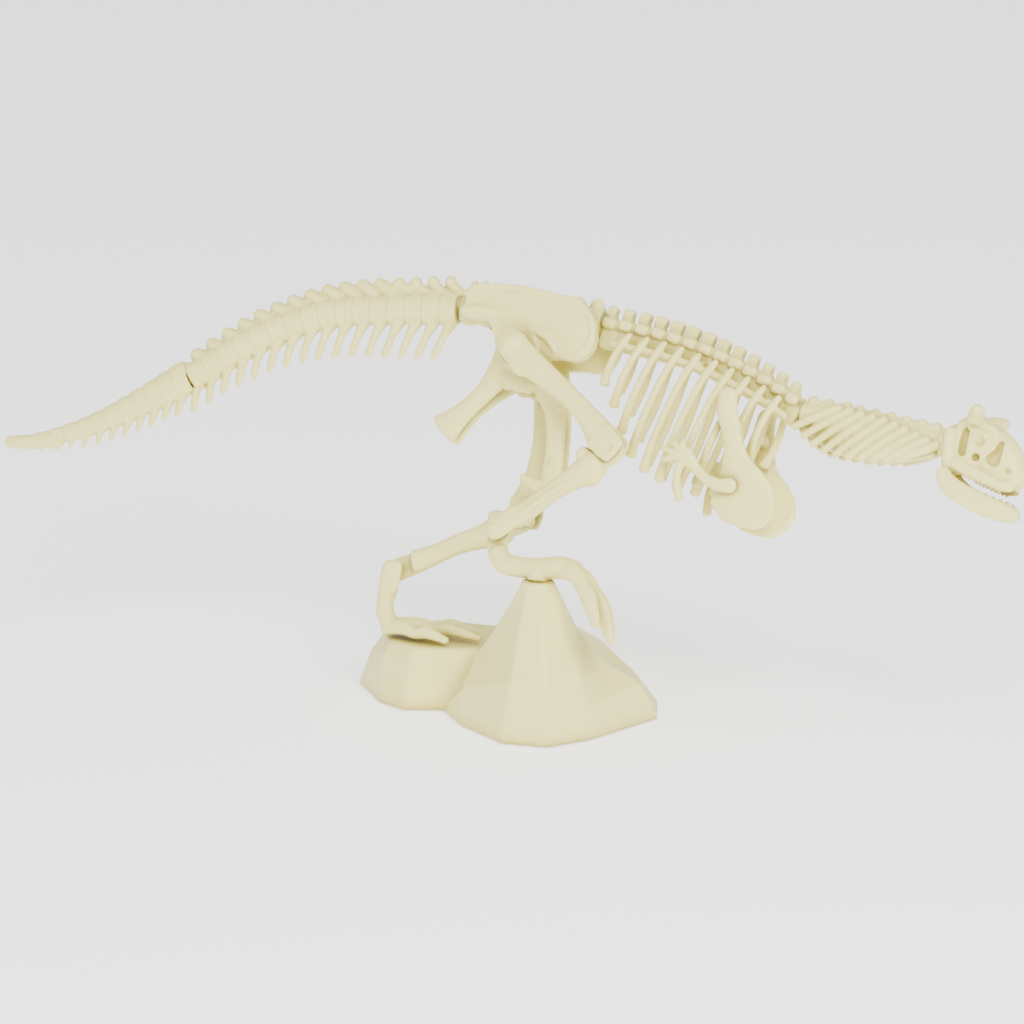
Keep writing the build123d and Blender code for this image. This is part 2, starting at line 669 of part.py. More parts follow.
def skull():
    """Deep, short skull with two brow horns, open eye and cheek windows and a row of teeth."""
    x0, z0 = skull_root
    half = skull_width / 2
    outline = [
        (x0, -7.0), (x0 + 4.5, -4.6), (x0 + 10.5, -4.4), (x0 + 17, -5.2), (x0 + 22, -8.5),
        (x0 + 26.5, -14.5), (x0 + 27.3, -19), (x0 + 26, -23.6), (x0 + 20, -24.4), (x0 + 13, -21.8),
        (x0 + 7.0, -18.9), (x0 + 3.5, -16.5), (x0, -16.2),
    ]
    face = Plane.XZ * make_face(Polyline(*outline, close=True))
    head = Pos(0, -half, 0) * extrude(face, amount=skull_width, dir=(0, 1, 0))
    for side in (-1, 1):
        taper = Plane.XY * make_face(
            Polyline((x0 + 8, side * half), (x0 + 30, side * 2.6), (x0 + 30, side * (half + 2)),
                     (x0 + 8, side * (half + 2)), close=True)
        )
        head -= Pos(0, 0, -40) * extrude(taper, amount=60, dir=(0, 0, 1))
    palate = [(x0 + 5, -15.6), (x0 + 13, -19.2), (x0 + 20, -22.0), (x0 + 24, -21.6)]
    roof = Plane.XZ * make_face(Polyline((x0 + 5, -26), *palate, (x0 + 24, -26), close=True))
    head -= Pos(0, -1.6, 0) * extrude(roof, amount=3.2, dir=(0, 1, 0))
    for x, z, wide, high in ((5.3, -9.6, 1.3, 3.4), (9.2, -9.4, 1.7, 2.2), (13.8, -13.2, 1.9, 2.4)):
        window = pin(x0 + x, z, -half - 1, half + 1, 1.0)
        head -= Pos(x0 + x, 0, z) * scale(Pos(-x0 - x, 0, -z) * window, by=(wide, 1.0, high))
    pieces = []
    for side in (-1, 1):
        for x in (7.5, 18.0):
            pieces.append(
                limb(
                    (x0 + x, side * 2.6, -6.4, 1.6, 2.3),
                    (x0 + x + 0.3, side * 3.8, -3.2, 1.2, 1.7),
                    (x0 + x + 0.8, side * 4.6, 0.2 if x < 10 else -1.6, 0.5, 0.6),
                )
            )
        for index in range(6):
            reach = 13.0 + 2.3 * index
            gum = max(-21.8 - 0.371 * (reach - 13.0), -24.4)
            width = 3.7 - 0.3 * index
            pieces.append(
                limb(
                    (x0 + reach, side * width, gum + 1.0, 0.55, 0.8),
                    (x0 + reach - 0.3, side * width, gum - 1.1, 0.2, 0.25),
                )
            )
    head = join(head, *pieces)
    hinge_x, hinge_z = jaw_hinge
    for side in (-1, 1):
        lug = join(
            pin(hinge_x, hinge_z, side * (half - 3.2), side * (half - 3.2 + jaw_cheek), 2.0),
            block(hinge_x - 1.6, hinge_x + 2.0, side * (half - 3.2), side * (half - 3.2 + jaw_cheek),
                  hinge_z, -15.0),
        )
        head = join(head, lug)
    for side in (-1, 1):
        head = join(head, pin(hinge_x, hinge_z, side * (half - 2.4), side * (half - 0.2), jaw_pin_radius))
    hole = rod((x0 - 1, 0, z0), (x0 + swivel_length + blind_gap, 0, z0), swivel_radius + peg_gap)
    return head - hole


def lower_jaw():
    """Jaw of two bars that meet at the chin, hinged outside the skull's lugs."""
    hinge_x, hinge_z = jaw_hinge
    lug_outer = skull_width / 2 - 3.2 + jaw_cheek
    inner = lug_outer + 0.2
    outer = inner + jaw_bar
    pieces = []
    for side in (-1, 1):
        y = side * (inner + outer) / 2
        pieces.append(pin(hinge_x, hinge_z, side * inner, side * outer, 2.1))
        pieces.append(
            limb(
                (hinge_x + 0.2, y, hinge_z - 1.0, jaw_bar / 2, 1.8),
                (hinge_x + 4.0, y, hinge_z - 5.0, jaw_bar / 2, 2.6),
                (hinge_x + 12.0, side * 3.4, hinge_z - 7.8, 1.1, 2.3),
                (hinge_x + 19.5, side * 1.9, hinge_z - 9.0, 1.3, 2.0),
                (hinge_x + 23.5, side * 0.6, hinge_z - 9.3, 1.2, 1.5),
            )
        )
        for index in range(5):
            x = hinge_x + 9.0 + 2.6 * index
            width = 3.8 - 0.42 * index
            z = hinge_z - 5.6 - 0.3 * index
            pieces.append(limb((x, side * width, z - 1.5, 0.55, 0.8), (x, side * width, z + 0.9, 0.2, 0.25)))
    jaw = join(pieces[0], *pieces[1:])
    return jaw - pin(hinge_x, hinge_z, -outer - 1, outer + 1, jaw_pin_radius + peg_gap)


# ---- rock stand ---------------------------------------------------------------------------------------
def faceted(rings):
    """Closed solid with flat triangular facets between rings of equally many (x, y, z) points."""
    faces = []
    count = len(rings[0])
    for lower, upper in zip(rings, rings[1:]):
        for index in range(count):
            after = (index + 1) % count
            a, b, c, d = lower[index], lower[after], upper[after], upper[index]
            faces.append(Face(Wire.make_polygon([a, b, c], close=True)))
            faces.append(Face(Wire.make_polygon([a, c, d], close=True)))
    faces.append(Face(Wire.make_polygon(list(reversed(rings[0])), close=True)))
    faces.append(Face(Wire.make_polygon(rings[-1], close=True)))
    return Solid(Shell(faces))


def inset(rings, centre, wall):
    """The same rings pulled in towards an upright axis and lowered by a wall."""
    inner = []
    for level, ring in enumerate(rings):
        moved = []
        for x, y, z in ring:
            away = Vector(x - centre[0], y - centre[1], 0)
            near = away * max(0.2, 1.0 - 1.25 * wall / away.length)
            moved.append((centre[0] + near.X, centre[1] + near.Y, z - 1.3 * wall if level else -1.0))
        inner.append(moved)
    return inner


peak_foot = [
    (18, -55), (29, -53), (37, -40), (44, -14), (40, 8), (22, 24), (0, 22), (-14, 4), (-17, -25), (-4, -40),
]


def peak_axis():
    """Upright axis towards which the walls of the peak are measured."""
    peak_x, peak_y, _ = world_point(foot_pin_place[0], -leg_offset, foot_pin_place[1])
    return (peak_x - 6, peak_y + 14)


def rock_base():
    """Hollow rock: a tall peak for the pinned right foot and a low ledge for the left one."""
    peak_x, peak_y, peak_z = world_point(foot_pin_place[0], -leg_offset, foot_pin_place[1])
    waist = [
        (17, -51), (28, -50), (34, -38), (38, -20), (34, 2),
        (20, 12), (8, 8), (3, -4), (0, -22), (-4, -34),
    ]
    waist_heights = (18, 17, 16, 17, 15, 18, 19, 20, 20.5, 20)
    chest = [
        (17, -47), (25, -46.5), (30, -39), (31, -29), (29, -19),
        (21, -12), (12, -14), (8, -21), (6, -30), (6, -39),
    ]
    chest_heights = (31, 30, 29, 27, 26, 27, 28, 29.5, 31, 33)
    top = []
    for index in range(10):
        angle = radians(-100 + 36 * index)
        top.append((peak_x + peak_radius * cos(angle), peak_y + peak_radius * sin(angle), peak_z))
    peak_rings = [
        [(x, y, 0.0) for x, y in peak_foot],
        [(x, y, z) for (x, y), z in zip(waist, waist_heights)],
        [(x, y, z) for (x, y), z in zip(chest, chest_heights)],
        top,
    ]
    ledge_foot = [
        (-4, -26), (-17, -27), (-26, -31), (-36, -26), (-51, -8), (-51, 12), (-38, 30), (-8, 34), (10, 26),
    ]
    ledge_top = [
        (-4, -23), (-15, -26), (-24, -29), (-35, -24), (-46, -8), (-46, 9), (-35, 25), (-9, 28), (6, 20),
    ]
    ledge_rings = [
        [(x, y, 0.0) for x, y in ledge_foot],
        [(x, y, ledge_height) for x, y in ledge_top],
    ]
    solid = faceted(peak_rings).fuse(faceted(ledge_rings))
    solid -= faceted(inset(peak_rings, peak_axis(), rock_wall))
    solid -= faceted(inset(ledge_rings, (-22, 2), rock_wall))
    solid = solid.fuse(
        Pos(peak_x, peak_y, peak_z - foot_pin_length / 2 - 2.0)
        * Cylinder(foot_pin_radius + rock_wall, foot_pin_length + 4.0 - 0.4)
    )
    hole_depth = foot_pin_length + blind_gap
    solid -= Pos(peak_x, peak_y, peak_z - hole_depth / 2 + 0.5) * Cylinder(
        foot_pin_radius + peg_gap, hole_depth + 1.0
    )
    return solid


# ---- the whole model ----------------------------------------------------------------------------------
def build_nodes():
    """Every piece by name, in the world frame with the hips above the origin."""
    nodes = {
        "rock_base": rock_base(),
        "foot_right": right_foot(),
        "shin_right": to_world(swing(shin(), *right_knee, right_shin_swing)),
        "thigh_right": to_world(swing(thigh(), 0, 0, right_thigh_swing)),
        "hip_right": to_world(right_hip()),
        "sacrum": to_world(sacrum()),
        "hip_left": to_world(left_of(right_hip())),
        "thigh_left": to_world(swing(left_of(thigh()), 0, 0, left_thigh_swing)),
        "shin_left": to_world(swing(left_of(shin()), *left_knee, left_shin_swing)),
        "foot_left": left_foot(),
        "tail_base": to_world(tail_base()),
        "tail_tip": to_world(tail_tip()),
        "dorsal_spine": to_world(back()),
        "ribs_right": to_world(right_ribs()),
        "ribs_left": to_world(left_of(right_ribs())),
        "shoulder_right": to_world(right_shoulder()),
        "arm_right": to_world(right_arm()),
        "shoulder_left": to_world(left_of(right_shoulder())),
        "arm_left": to_world(left_of(right_arm())),
        "neck": to_world(neck()),
        "skull": to_world(skull()),
        "lower_jaw": to_world(lower_jaw()),
    }
    return nodes


nodes = build_nodes()
box = Compound(children=[Compound(children=shape.solids()) for shape in nodes.values()]).bounding_box()
shift = (-(box.min.X + box.max.X) / 2, -(box.min.Y + box.max.Y) / 2, 0.0)

os.makedirs("parts", exist_ok=True)
for name, shape in nodes.items():
    placed = Pos(*shift) * Compound(children=shape.solids())
    export_step(placed, f"parts/{name}.step")
    print(name, len(placed.solids()), round(placed.volume, 1))
print("shift", shift)
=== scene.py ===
"""Looks of a snap-together horned dinosaur skeleton that strides over a hollow rock stand.

Bones are modelled in the body frame in millimetres: X runs forward along the back, Y to the animal's
left and Z up, with the origin midway between the hip joints. Each piece stands for one CAD node.
"""

import json
import logging
import math
from collections.abc import Sequence
from dataclasses import dataclass, field
from enum import Enum

import bmesh
import bpy
from mathutils import Matrix, Vector

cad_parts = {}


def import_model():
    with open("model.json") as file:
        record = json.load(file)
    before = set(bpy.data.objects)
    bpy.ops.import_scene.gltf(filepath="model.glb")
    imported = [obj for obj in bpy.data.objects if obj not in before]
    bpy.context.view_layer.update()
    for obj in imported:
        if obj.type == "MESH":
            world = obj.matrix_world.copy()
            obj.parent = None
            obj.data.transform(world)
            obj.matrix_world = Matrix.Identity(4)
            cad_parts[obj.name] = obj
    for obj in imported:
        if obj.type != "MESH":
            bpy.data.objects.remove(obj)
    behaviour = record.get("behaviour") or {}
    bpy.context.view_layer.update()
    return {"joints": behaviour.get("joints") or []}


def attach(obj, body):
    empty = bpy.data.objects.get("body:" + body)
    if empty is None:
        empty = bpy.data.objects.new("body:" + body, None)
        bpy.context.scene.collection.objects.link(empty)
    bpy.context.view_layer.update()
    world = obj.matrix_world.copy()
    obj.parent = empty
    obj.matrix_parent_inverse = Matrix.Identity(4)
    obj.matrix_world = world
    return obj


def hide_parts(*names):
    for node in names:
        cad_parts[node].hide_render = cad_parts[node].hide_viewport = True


MM = 0.001
log = logging.getLogger("skeleton")

Point = tuple[float, float, float]
Place = tuple[float, float]
Colour = tuple[float, float, float, float]
Station = tuple[float, float, float, float, float]

# Places and lengths in millimetres that several pieces share.
BACK_LINE: tuple[Place, ...] = (
    (20.6, 9.6), (38.0, 8.0), (50.0, 5.8), (62.0, 2.4), (74.0, -2.2), (85.2, -7.6),
)
ARM_ROOT: Place = (1.5, -25.5)
JAW_HINGE: Place = (133.0, -20.5)
LEG_OFFSET = 14.0
THIGH_LENGTH = 45.0
SHIN_LENGTH = 41.5
LAP_OFFSET = 1.62

# How bones are modelled.
DOME_REACH = 0.8
DOME_SHARES = (0.45, 0.78, 0.96)
PARALLEL_LIMIT = 0.93
SHARP_ANGLE = math.radians(50)
SWELL_SIZE = 3.2
WHITE: Colour = (1.0, 1.0, 1.0, 1.0)


class Side(Enum):
    """Hand of a piece; bones are drawn for the right hand and flipped for the left."""

    RIGHT = 1.0
    LEFT = -1.0

    @property
    def word(self) -> str:
        """Ending of the node and body names."""
        return self.name.lower()


class Grade(Enum):
    """Voxel size in millimetres of a piece's mesh."""

    FINE = 0.27
    MEDIUM = 0.34
    COARSE = 0.62


# ---- curves ------------------------------------------------------------------------------------------
def smoothed(rows: Sequence[Sequence[float]], steps: int = 3, closed: bool = False) -> list[list[float]]:
    """Catmull-Rom curve through rows of numbers.

    Args:
        rows: Points, each with any count of numbers.
        steps: Pieces that each span is cut into.
        closed: Whether the last row leads back to the first.

    Returns:
        The denser rows.
    """
    count = len(rows)
    spans = count if closed else count - 1
    found: list[list[float]] = []
    for span in range(spans):
        picks = []
        for shift in (-1, 0, 1, 2):
            index = span + shift
            picks.append(rows[index % count] if closed else rows[min(max(index, 0), count - 1)])
        for step in range(steps):
            t = step / steps
            found.append([_catmull(*values, t) for values in zip(*picks)])
    if not closed:
        found.append(list(rows[-1]))
    return found


def _catmull(a: float, b: float, c: float, d: float, t: float) -> float:
    """One number of a Catmull-Rom span."""
    return 0.5 * (2 * b + (c - a) * t + (2 * a - 5 * b + 4 * c - d) * t * t + (3 * b - a - 3 * c + d) * t**3)


def on_line(line: Sequence[Sequence[float]], share: float) -> Vector:
    """Point at a share of the length of a smoothed line, as a vector of its numbers.

    Args:
        line: Points that the line runs through.
        share: Place along it, from 0 to 1.

    Returns:
        The point.
    """
    rows = [Vector(row) for row in smoothed(line, 8)]
    lengths = [(b - a).length for a, b in zip(rows, rows[1:])]
    rest = min(max(share, 0.0), 1.0) * sum(lengths)
    for a, b, length in zip(rows, rows[1:], lengths):
        if rest <= length:
            return a.lerp(b, rest / length)
        rest -= length
    return rows[-1]


def mix(a: float, b: float, share: float) -> float:
    """Number at a share of the way from a to b."""
    return a + (b - a) * share


def crosswise(along: Vector) -> Matrix:
    """Turn whose X runs across the body, Y in its plane and Z along a bone.

    Args:
        along: Direction of the bone.

    Returns:
        The turn.
    """
    forward = along.normalized()
    reference = Vector((0, 1, 0))
    if abs(forward.dot(reference)) > PARALLEL_LIMIT:
        reference = Vector((0, 0, 1))
    across = (reference - forward * reference.dot(forward)).normalized()
    return Matrix((across, forward.cross(across), forward)).transposed()


# ---- modelling ---------------------------------------------------------------------------------------
class Clay:
    """One mass built up in edit mode from bones, knobs, blocks and plates, then cast into one skin."""

    def __init__(self, side: Side = Side.RIGHT) -> None:
        """Opens an empty mesh in edit mode.

        Args:
            side: Hand of the piece.
        """
        bpy.ops.object.select_all(action="DESELECT")
        bpy.ops.mesh.primitive_cube_add()
        self.obj = bpy.context.object
        self.hand = side.value
        bpy.ops.object.mode_set(mode="EDIT")
        bpy.ops.mesh.delete(type="VERT")
        self._compact()

    def _mesh(self) -> bmesh.types.BMesh:
        """Edit mesh with its lookup table ready.

        Returns:
            The edit mesh.
        """
        mesh = bmesh.from_edit_mesh(self.obj.data)
        mesh.verts.ensure_lookup_table()
        return mesh

    def _pick(self, first: int, last: int | None = None) -> None:
        """Selects the vertices from first up to last, and nothing else.

        Args:
            first: Number of the first vertex.
            last: Number after the last vertex, or None for all that follow.
        """
        bpy.ops.mesh.select_all(action="DESELECT")
        mesh = self._mesh()
        for vertex in mesh.verts[first:last]:
            vertex.select = True
        mesh.select_flush(True)

    def _set(self, first: int, matrix: Matrix) -> None:
        """Puts the newest primitive, whose vertices start at first, in place."""
        for vertex in self._mesh().verts[first:]:
            vertex.co = matrix @ vertex.co

    @staticmethod
    def _compact() -> None:
        """Renumbers the vertices, so that the next ones come last."""
        bpy.ops.object.mode_set(mode="OBJECT")
        bpy.ops.object.mode_set(mode="EDIT")

    def _stance(self, centre: Point, size: Point, turn: float) -> Matrix:
        """Placement at a centre, stretched to a size and turned in degrees about the crosswise axis.

        Args:
            centre: Its middle.
            size: Its lengths.
            turn: Degrees about the crosswise axis.

        Returns:
            The placement.
        """
        x, y, z = centre
        turned = Matrix.Rotation(math.radians(turn), 4, "Y") @ Matrix.Diagonal((*size, 1.0))
        return Matrix.Translation((x, y * self.hand, z)) @ turned

    def bone(self, *stations: Station, domes: tuple[bool, bool] = (True, True), sides: int = 12) -> None:
        """Adds a smooth closed bone.

        Args:
            stations: Sections, each (x, y, z, half width across the body, half depth).
            domes: Whether the first and the last end are rounded.
            sides: Corners of a section.
        """
        rings = smoothed(stations)
        for end, rounded in ((0, domes[0]), (-1, domes[1])):
            if rounded:
                rings = self._domed(rings, end)
        centres = [Vector((x, y * self.hand, z)) for x, y, z, _, _ in rings]
        first = len(self._mesh().verts)
        for index, ring in enumerate(rings):
            along = centres[min(index + 1, len(rings) - 1)] - centres[max(index - 1, 0)]
            start = len(self._mesh().verts)
            bpy.ops.mesh.primitive_circle_add(vertices=sides, radius=1.0, fill_type="NOTHING")
            stretch = Matrix.Diagonal((ring[3], ring[4], 1.0, 1.0))
            self._set(start, Matrix.Translation(centres[index]) @ crosswise(along).to_4x4() @ stretch)
        self._pick(first)
        bpy.ops.mesh.bridge_edge_loops()
        for start in (first, first + (len(rings) - 1) * sides):
            self._pick(start, start + sides)
            bpy.ops.mesh.edge_face_add()

    @staticmethod
    def _domed(rings: list[list[float]], end: int) -> list[list[float]]:
        """Rings with a rounded cap added at the first or the last of them.

        Args:
            rings: Sections of the bone.
            end: Which section is capped: 0 or -1.

        Returns:
            The sections with the cap.
        """
        last = rings[end]
        inner = rings[1] if end == 0 else rings[-2]
        outward = (Vector(last[:3]) - Vector(inner[:3])).normalized()
        reach = DOME_REACH * min(last[3], last[4])
        cap = []
        for share in DOME_SHARES:
            centre = Vector(last[:3]) + outward * reach * share
            shrink = math.sqrt(1.0 - share * share)
            cap.append([*centre, last[3] * shrink, last[4] * shrink])
        return cap[::-1] + rings if end == 0 else rings + cap

    def knob(self, centre: Point, radii: Point, turn: float = 0.0) -> None:
        """Adds a rounded lump; turn is in degrees about the crosswise axis.

        Args:
            centre: Its middle.
            radii: Its half lengths.
            turn: Degrees about the crosswise axis.
        """
        first = len(self._mesh().verts)
        bpy.ops.mesh.primitive_uv_sphere_add(segments=14, ring_count=9, radius=1.0)
        self._set(first, self._stance(centre, radii, turn))
        self._compact()

    def block(self, centre: Point, size: Point, turn: float = 0.0, edge: float = 0.4) -> None:
        """Adds a block with bevelled edges; turn is in degrees about the crosswise axis.

        Args:
            centre: Its middle.
            size: Its full lengths.
            turn: Degrees about the crosswise axis.
            edge: Width of the bevel.
        """
        first = len(self._mesh().verts)
        bpy.ops.mesh.select_all(action="DESELECT")
        bpy.ops.mesh.primitive_cube_add(size=1.0)
        self._set(first, self._stance(centre, size, turn))
        bpy.ops.mesh.bevel(offset=edge, segments=2, affect="EDGES")
        self._compact()

    def plate(self, outline: Sequence[Place], inner: float, outer: float, edge: float = 0.8) -> None:
        """Adds a flat bone with a smooth side outline of (x, z) places and bevelled edges."""
        places = smoothed(outline, 4, closed=True)
        self.prism([(x, inner, z) for x, z in places], (0, (outer - inner) * self.hand, 0), edge)

    def prism(self, corners: Sequence[Sequence[float]], move: Point, edge: float) -> None:
        """Adds the solid that a closed outline sweeps as it is moved.

        Args:
            corners: Corners of the outline.
            move: How far and where the outline is moved.
            edge: Width of the bevel.
        """
        first = len(self._mesh().verts)
        bpy.ops.mesh.primitive_circle_add(vertices=len(corners), fill_type="NOTHING")
        mesh = self._mesh()
        for vertex, (x, y, z) in zip(mesh.verts[first:], corners):
            vertex.co = (x, y * self.hand, z)
        self._pick(first)
        bpy.ops.mesh.edge_face_add()
        bpy.ops.mesh.extrude_region_move(TRANSFORM_OT_translate={"value": move})
        self._bevel_rims(first, edge)
        self._compact()

    def _bevel_rims(self, first: int, edge: float) -> None:
        """Bevels the sharp rims of what was added from the vertex numbered first.

        Args:
            first: Number of the first vertex.
            edge: Width of the bevel.
        """
        mesh = self._mesh()
        bpy.ops.mesh.select_all(action="DESELECT")
        for rim in mesh.edges:
            if rim.verts[0].index >= first and len(rim.link_faces) == 2:
                rim.select = rim.calc_face_angle(0.0) > SHARP_ANGLE
        bmesh.update_edit_mesh(self.obj.data)
        bpy.ops.mesh.bevel(offset=edge, segments=2, affect="EDGES")

    def rings(self, *loops: Sequence[Point]) -> None:
        """Adds a closed faceted solid through rings of equally many corners.

        Args:
            loops: The rings, from one end to the other.
        """
        first = len(self._mesh().verts)
        corners = len(loops[0])
        for loop in loops:
            start = len(self._mesh().verts)
            bpy.ops.mesh.primitive_circle_add(vertices=corners, fill_type="NOTHING", location=loop[0])
            for vertex, place in zip(self._mesh().verts[start:], loop):
                vertex.co = place
        for level in range(len(loops) - 1):
            start = first + level * corners
            self._pick(start, start + 2 * corners)
            bpy.ops.mesh.bridge_edge_loops()
        for start in (first, first + (len(loops) - 1) * corners):
            self._pick(start, start + corners)
            bpy.ops.mesh.edge_face_add()

    def cast(self, name: str, grade: Grade, soften: int = 3, lumps: float = 0.0) -> bpy.types.Object:
        """Joins all that was added into one skin.

        Args:
            name: The object's name.
            grade: How fine the skin is.
            soften: Rounds of smoothing.
            lumps: Height in millimetres of a gentle uneven swell.

        Returns:
            The object, still in millimetres.
        """
        bpy.ops.mesh.select_all(action="SELECT")
        bpy.ops.mesh.normals_make_consistent(inside=False)
        bpy.ops.object.mode_set(mode="OBJECT")
        self.obj.name = name
        reskin(self.obj, grade, soften)
        if lumps:
            swell = bpy.data.textures.new(f"{name}_swell", "CLOUDS")
            swell.noise_scale = SWELL_SIZE
            swell.noise_depth = 2
            modify(
                self.obj, "DISPLACE",
                texture=swell, texture_coords="LOCAL", strength=2 * lumps, mid_level=0.5,
            )
        return self.obj


def focus(obj: bpy.types.Object) -> None:
    """Selects one object alone and makes it the active one.

    Args:
        obj: The object.
    """
    bpy.ops.object.select_all(action="DESELECT")
    obj.select_set(True)
    bpy.context.view_layer.objects.active = obj


def modify(obj: bpy.types.Object, kind: str, **settings: object) -> None:
    """Adds one modifier to an object and applies it.

    Args:
        obj: The object.
        kind: Type of the modifier.
        settings: Its settings by name.
    """
    focus(obj)
    modifier = obj.modifiers.new(kind.lower(), kind)
    for key, value in settings.items():
        setattr(modifier, key, value)
    bpy.ops.object.modifier_apply(modifier=modifier.name)


def reskin(obj: bpy.types.Object, grade: Grade, soften: int) -> None:
    """Wraps an object's solids in one even skin and smooths it.

    Args:
        obj: The object.
        grade: How fine the skin is.
        soften: Rounds of smoothing.
    """
    modify(obj, "REMESH", mode="VOXEL", voxel_size=grade.value)
    if soften:
        modify(obj, "SMOOTH", factor=0.5, iterations=soften)


def carve(obj: bpy.types.Object, cutter: bpy.types.Object, grade: Grade, soften: int = 2) -> None:
    """Takes a cutter out of an object and removes the cutter.

    Args:
        obj: The object.
        cutter: What is taken out.
        grade: How fine the skin is.
        soften: Rounds of smoothing.
    """
    modify(obj, "BOOLEAN", operation="DIFFERENCE", solver="FAST", object=cutter)
    bpy.data.objects.remove(cutter)
    reskin(obj, grade, soften)


def settle(obj: bpy.types.Object, matrix: Matrix) -> None:
    """Bakes a placement into an object's mesh and shades it smooth.

    Args:
        obj: The object.
        matrix: Millimetres to world metres.
    """
    focus(obj)
    obj.matrix_world = matrix
    bpy.ops.object.transform_apply(location=True, rotation=True, scale=True)
    bpy.ops.object.shade_smooth()


# ---- placing -----------------------------------------------------------------------------------------
@dataclass(frozen=True)
class BodyFrame:
    """Leaning frame of the skeleton, found from the hip joints."""

    origin: Vector
    left: Vector
    hip_height: float = 100.0

    @classmethod
    def from_joints(cls, joints: Sequence[dict]) -> "BodyFrame":
        """Reads the frame from the two hip joints.

        Args:
            joints: Joints of the frame, each with its name, place and axis.

        Returns:
            The frame.
        """
        places = {joint["name"]: Vector(joint["pos_m"]) for joint in joints}
        axis = next(Vector(joint["axis"]) for joint in joints if joint["name"] == "hip_right")
        return cls((places["hip_right"] + places["hip_left"]) / 2, axis.normalized())

    @property
    def matrix(self) -> Matrix:
        """Body-frame millimetres to world metres.

        Returns:
            The placement.
        """
        ahead = Vector((1, 0, 0))
        turn = Matrix((ahead, self.left, ahead.cross(self.left))).transposed().to_4x4()
        return Matrix.Translation(self.origin) @ turn @ Matrix.Scale(MM, 4)

    @property
    def ground(self) -> Matrix:
        """Upright millimetres, with the table at zero height under the hips, to world metres."""
        return Matrix.Translation(self.origin - Vector((0, 0, self.hip_height * MM))) @ Matrix.Scale(MM, 4)

    def from_ground(self, place: Point) -> Vector:
        """Body-frame place of an upright one."""
        return self.matrix.inverted() @ (self.ground @ Vector(place))

    def to_ground(self, place: Point) -> Vector:
        """Upright place of a body-frame one."""
        return self.ground.inverted() @ (self.matrix @ Vector(place))


def swung(x: float, z: float, degrees: float) -> Matrix:
    """Placement of a bone that hangs straight down from (x, z); positive swings it forward."""
    return Matrix.Translation((x, 0, z)) @ Matrix.Rotation(-math.radians(degrees), 4, "Y")


# ---- finishes ----------------------------------------------------------------------------------------
@dataclass(frozen=True)
class Hollow:
    """Painted shade in hollows: how open a spot is, over a reach in metres, where the painted shade starts
    and ends, and how strong it gets.
    """

    reach: float
    open_limit: float
    closed_limit: float
    strength: float


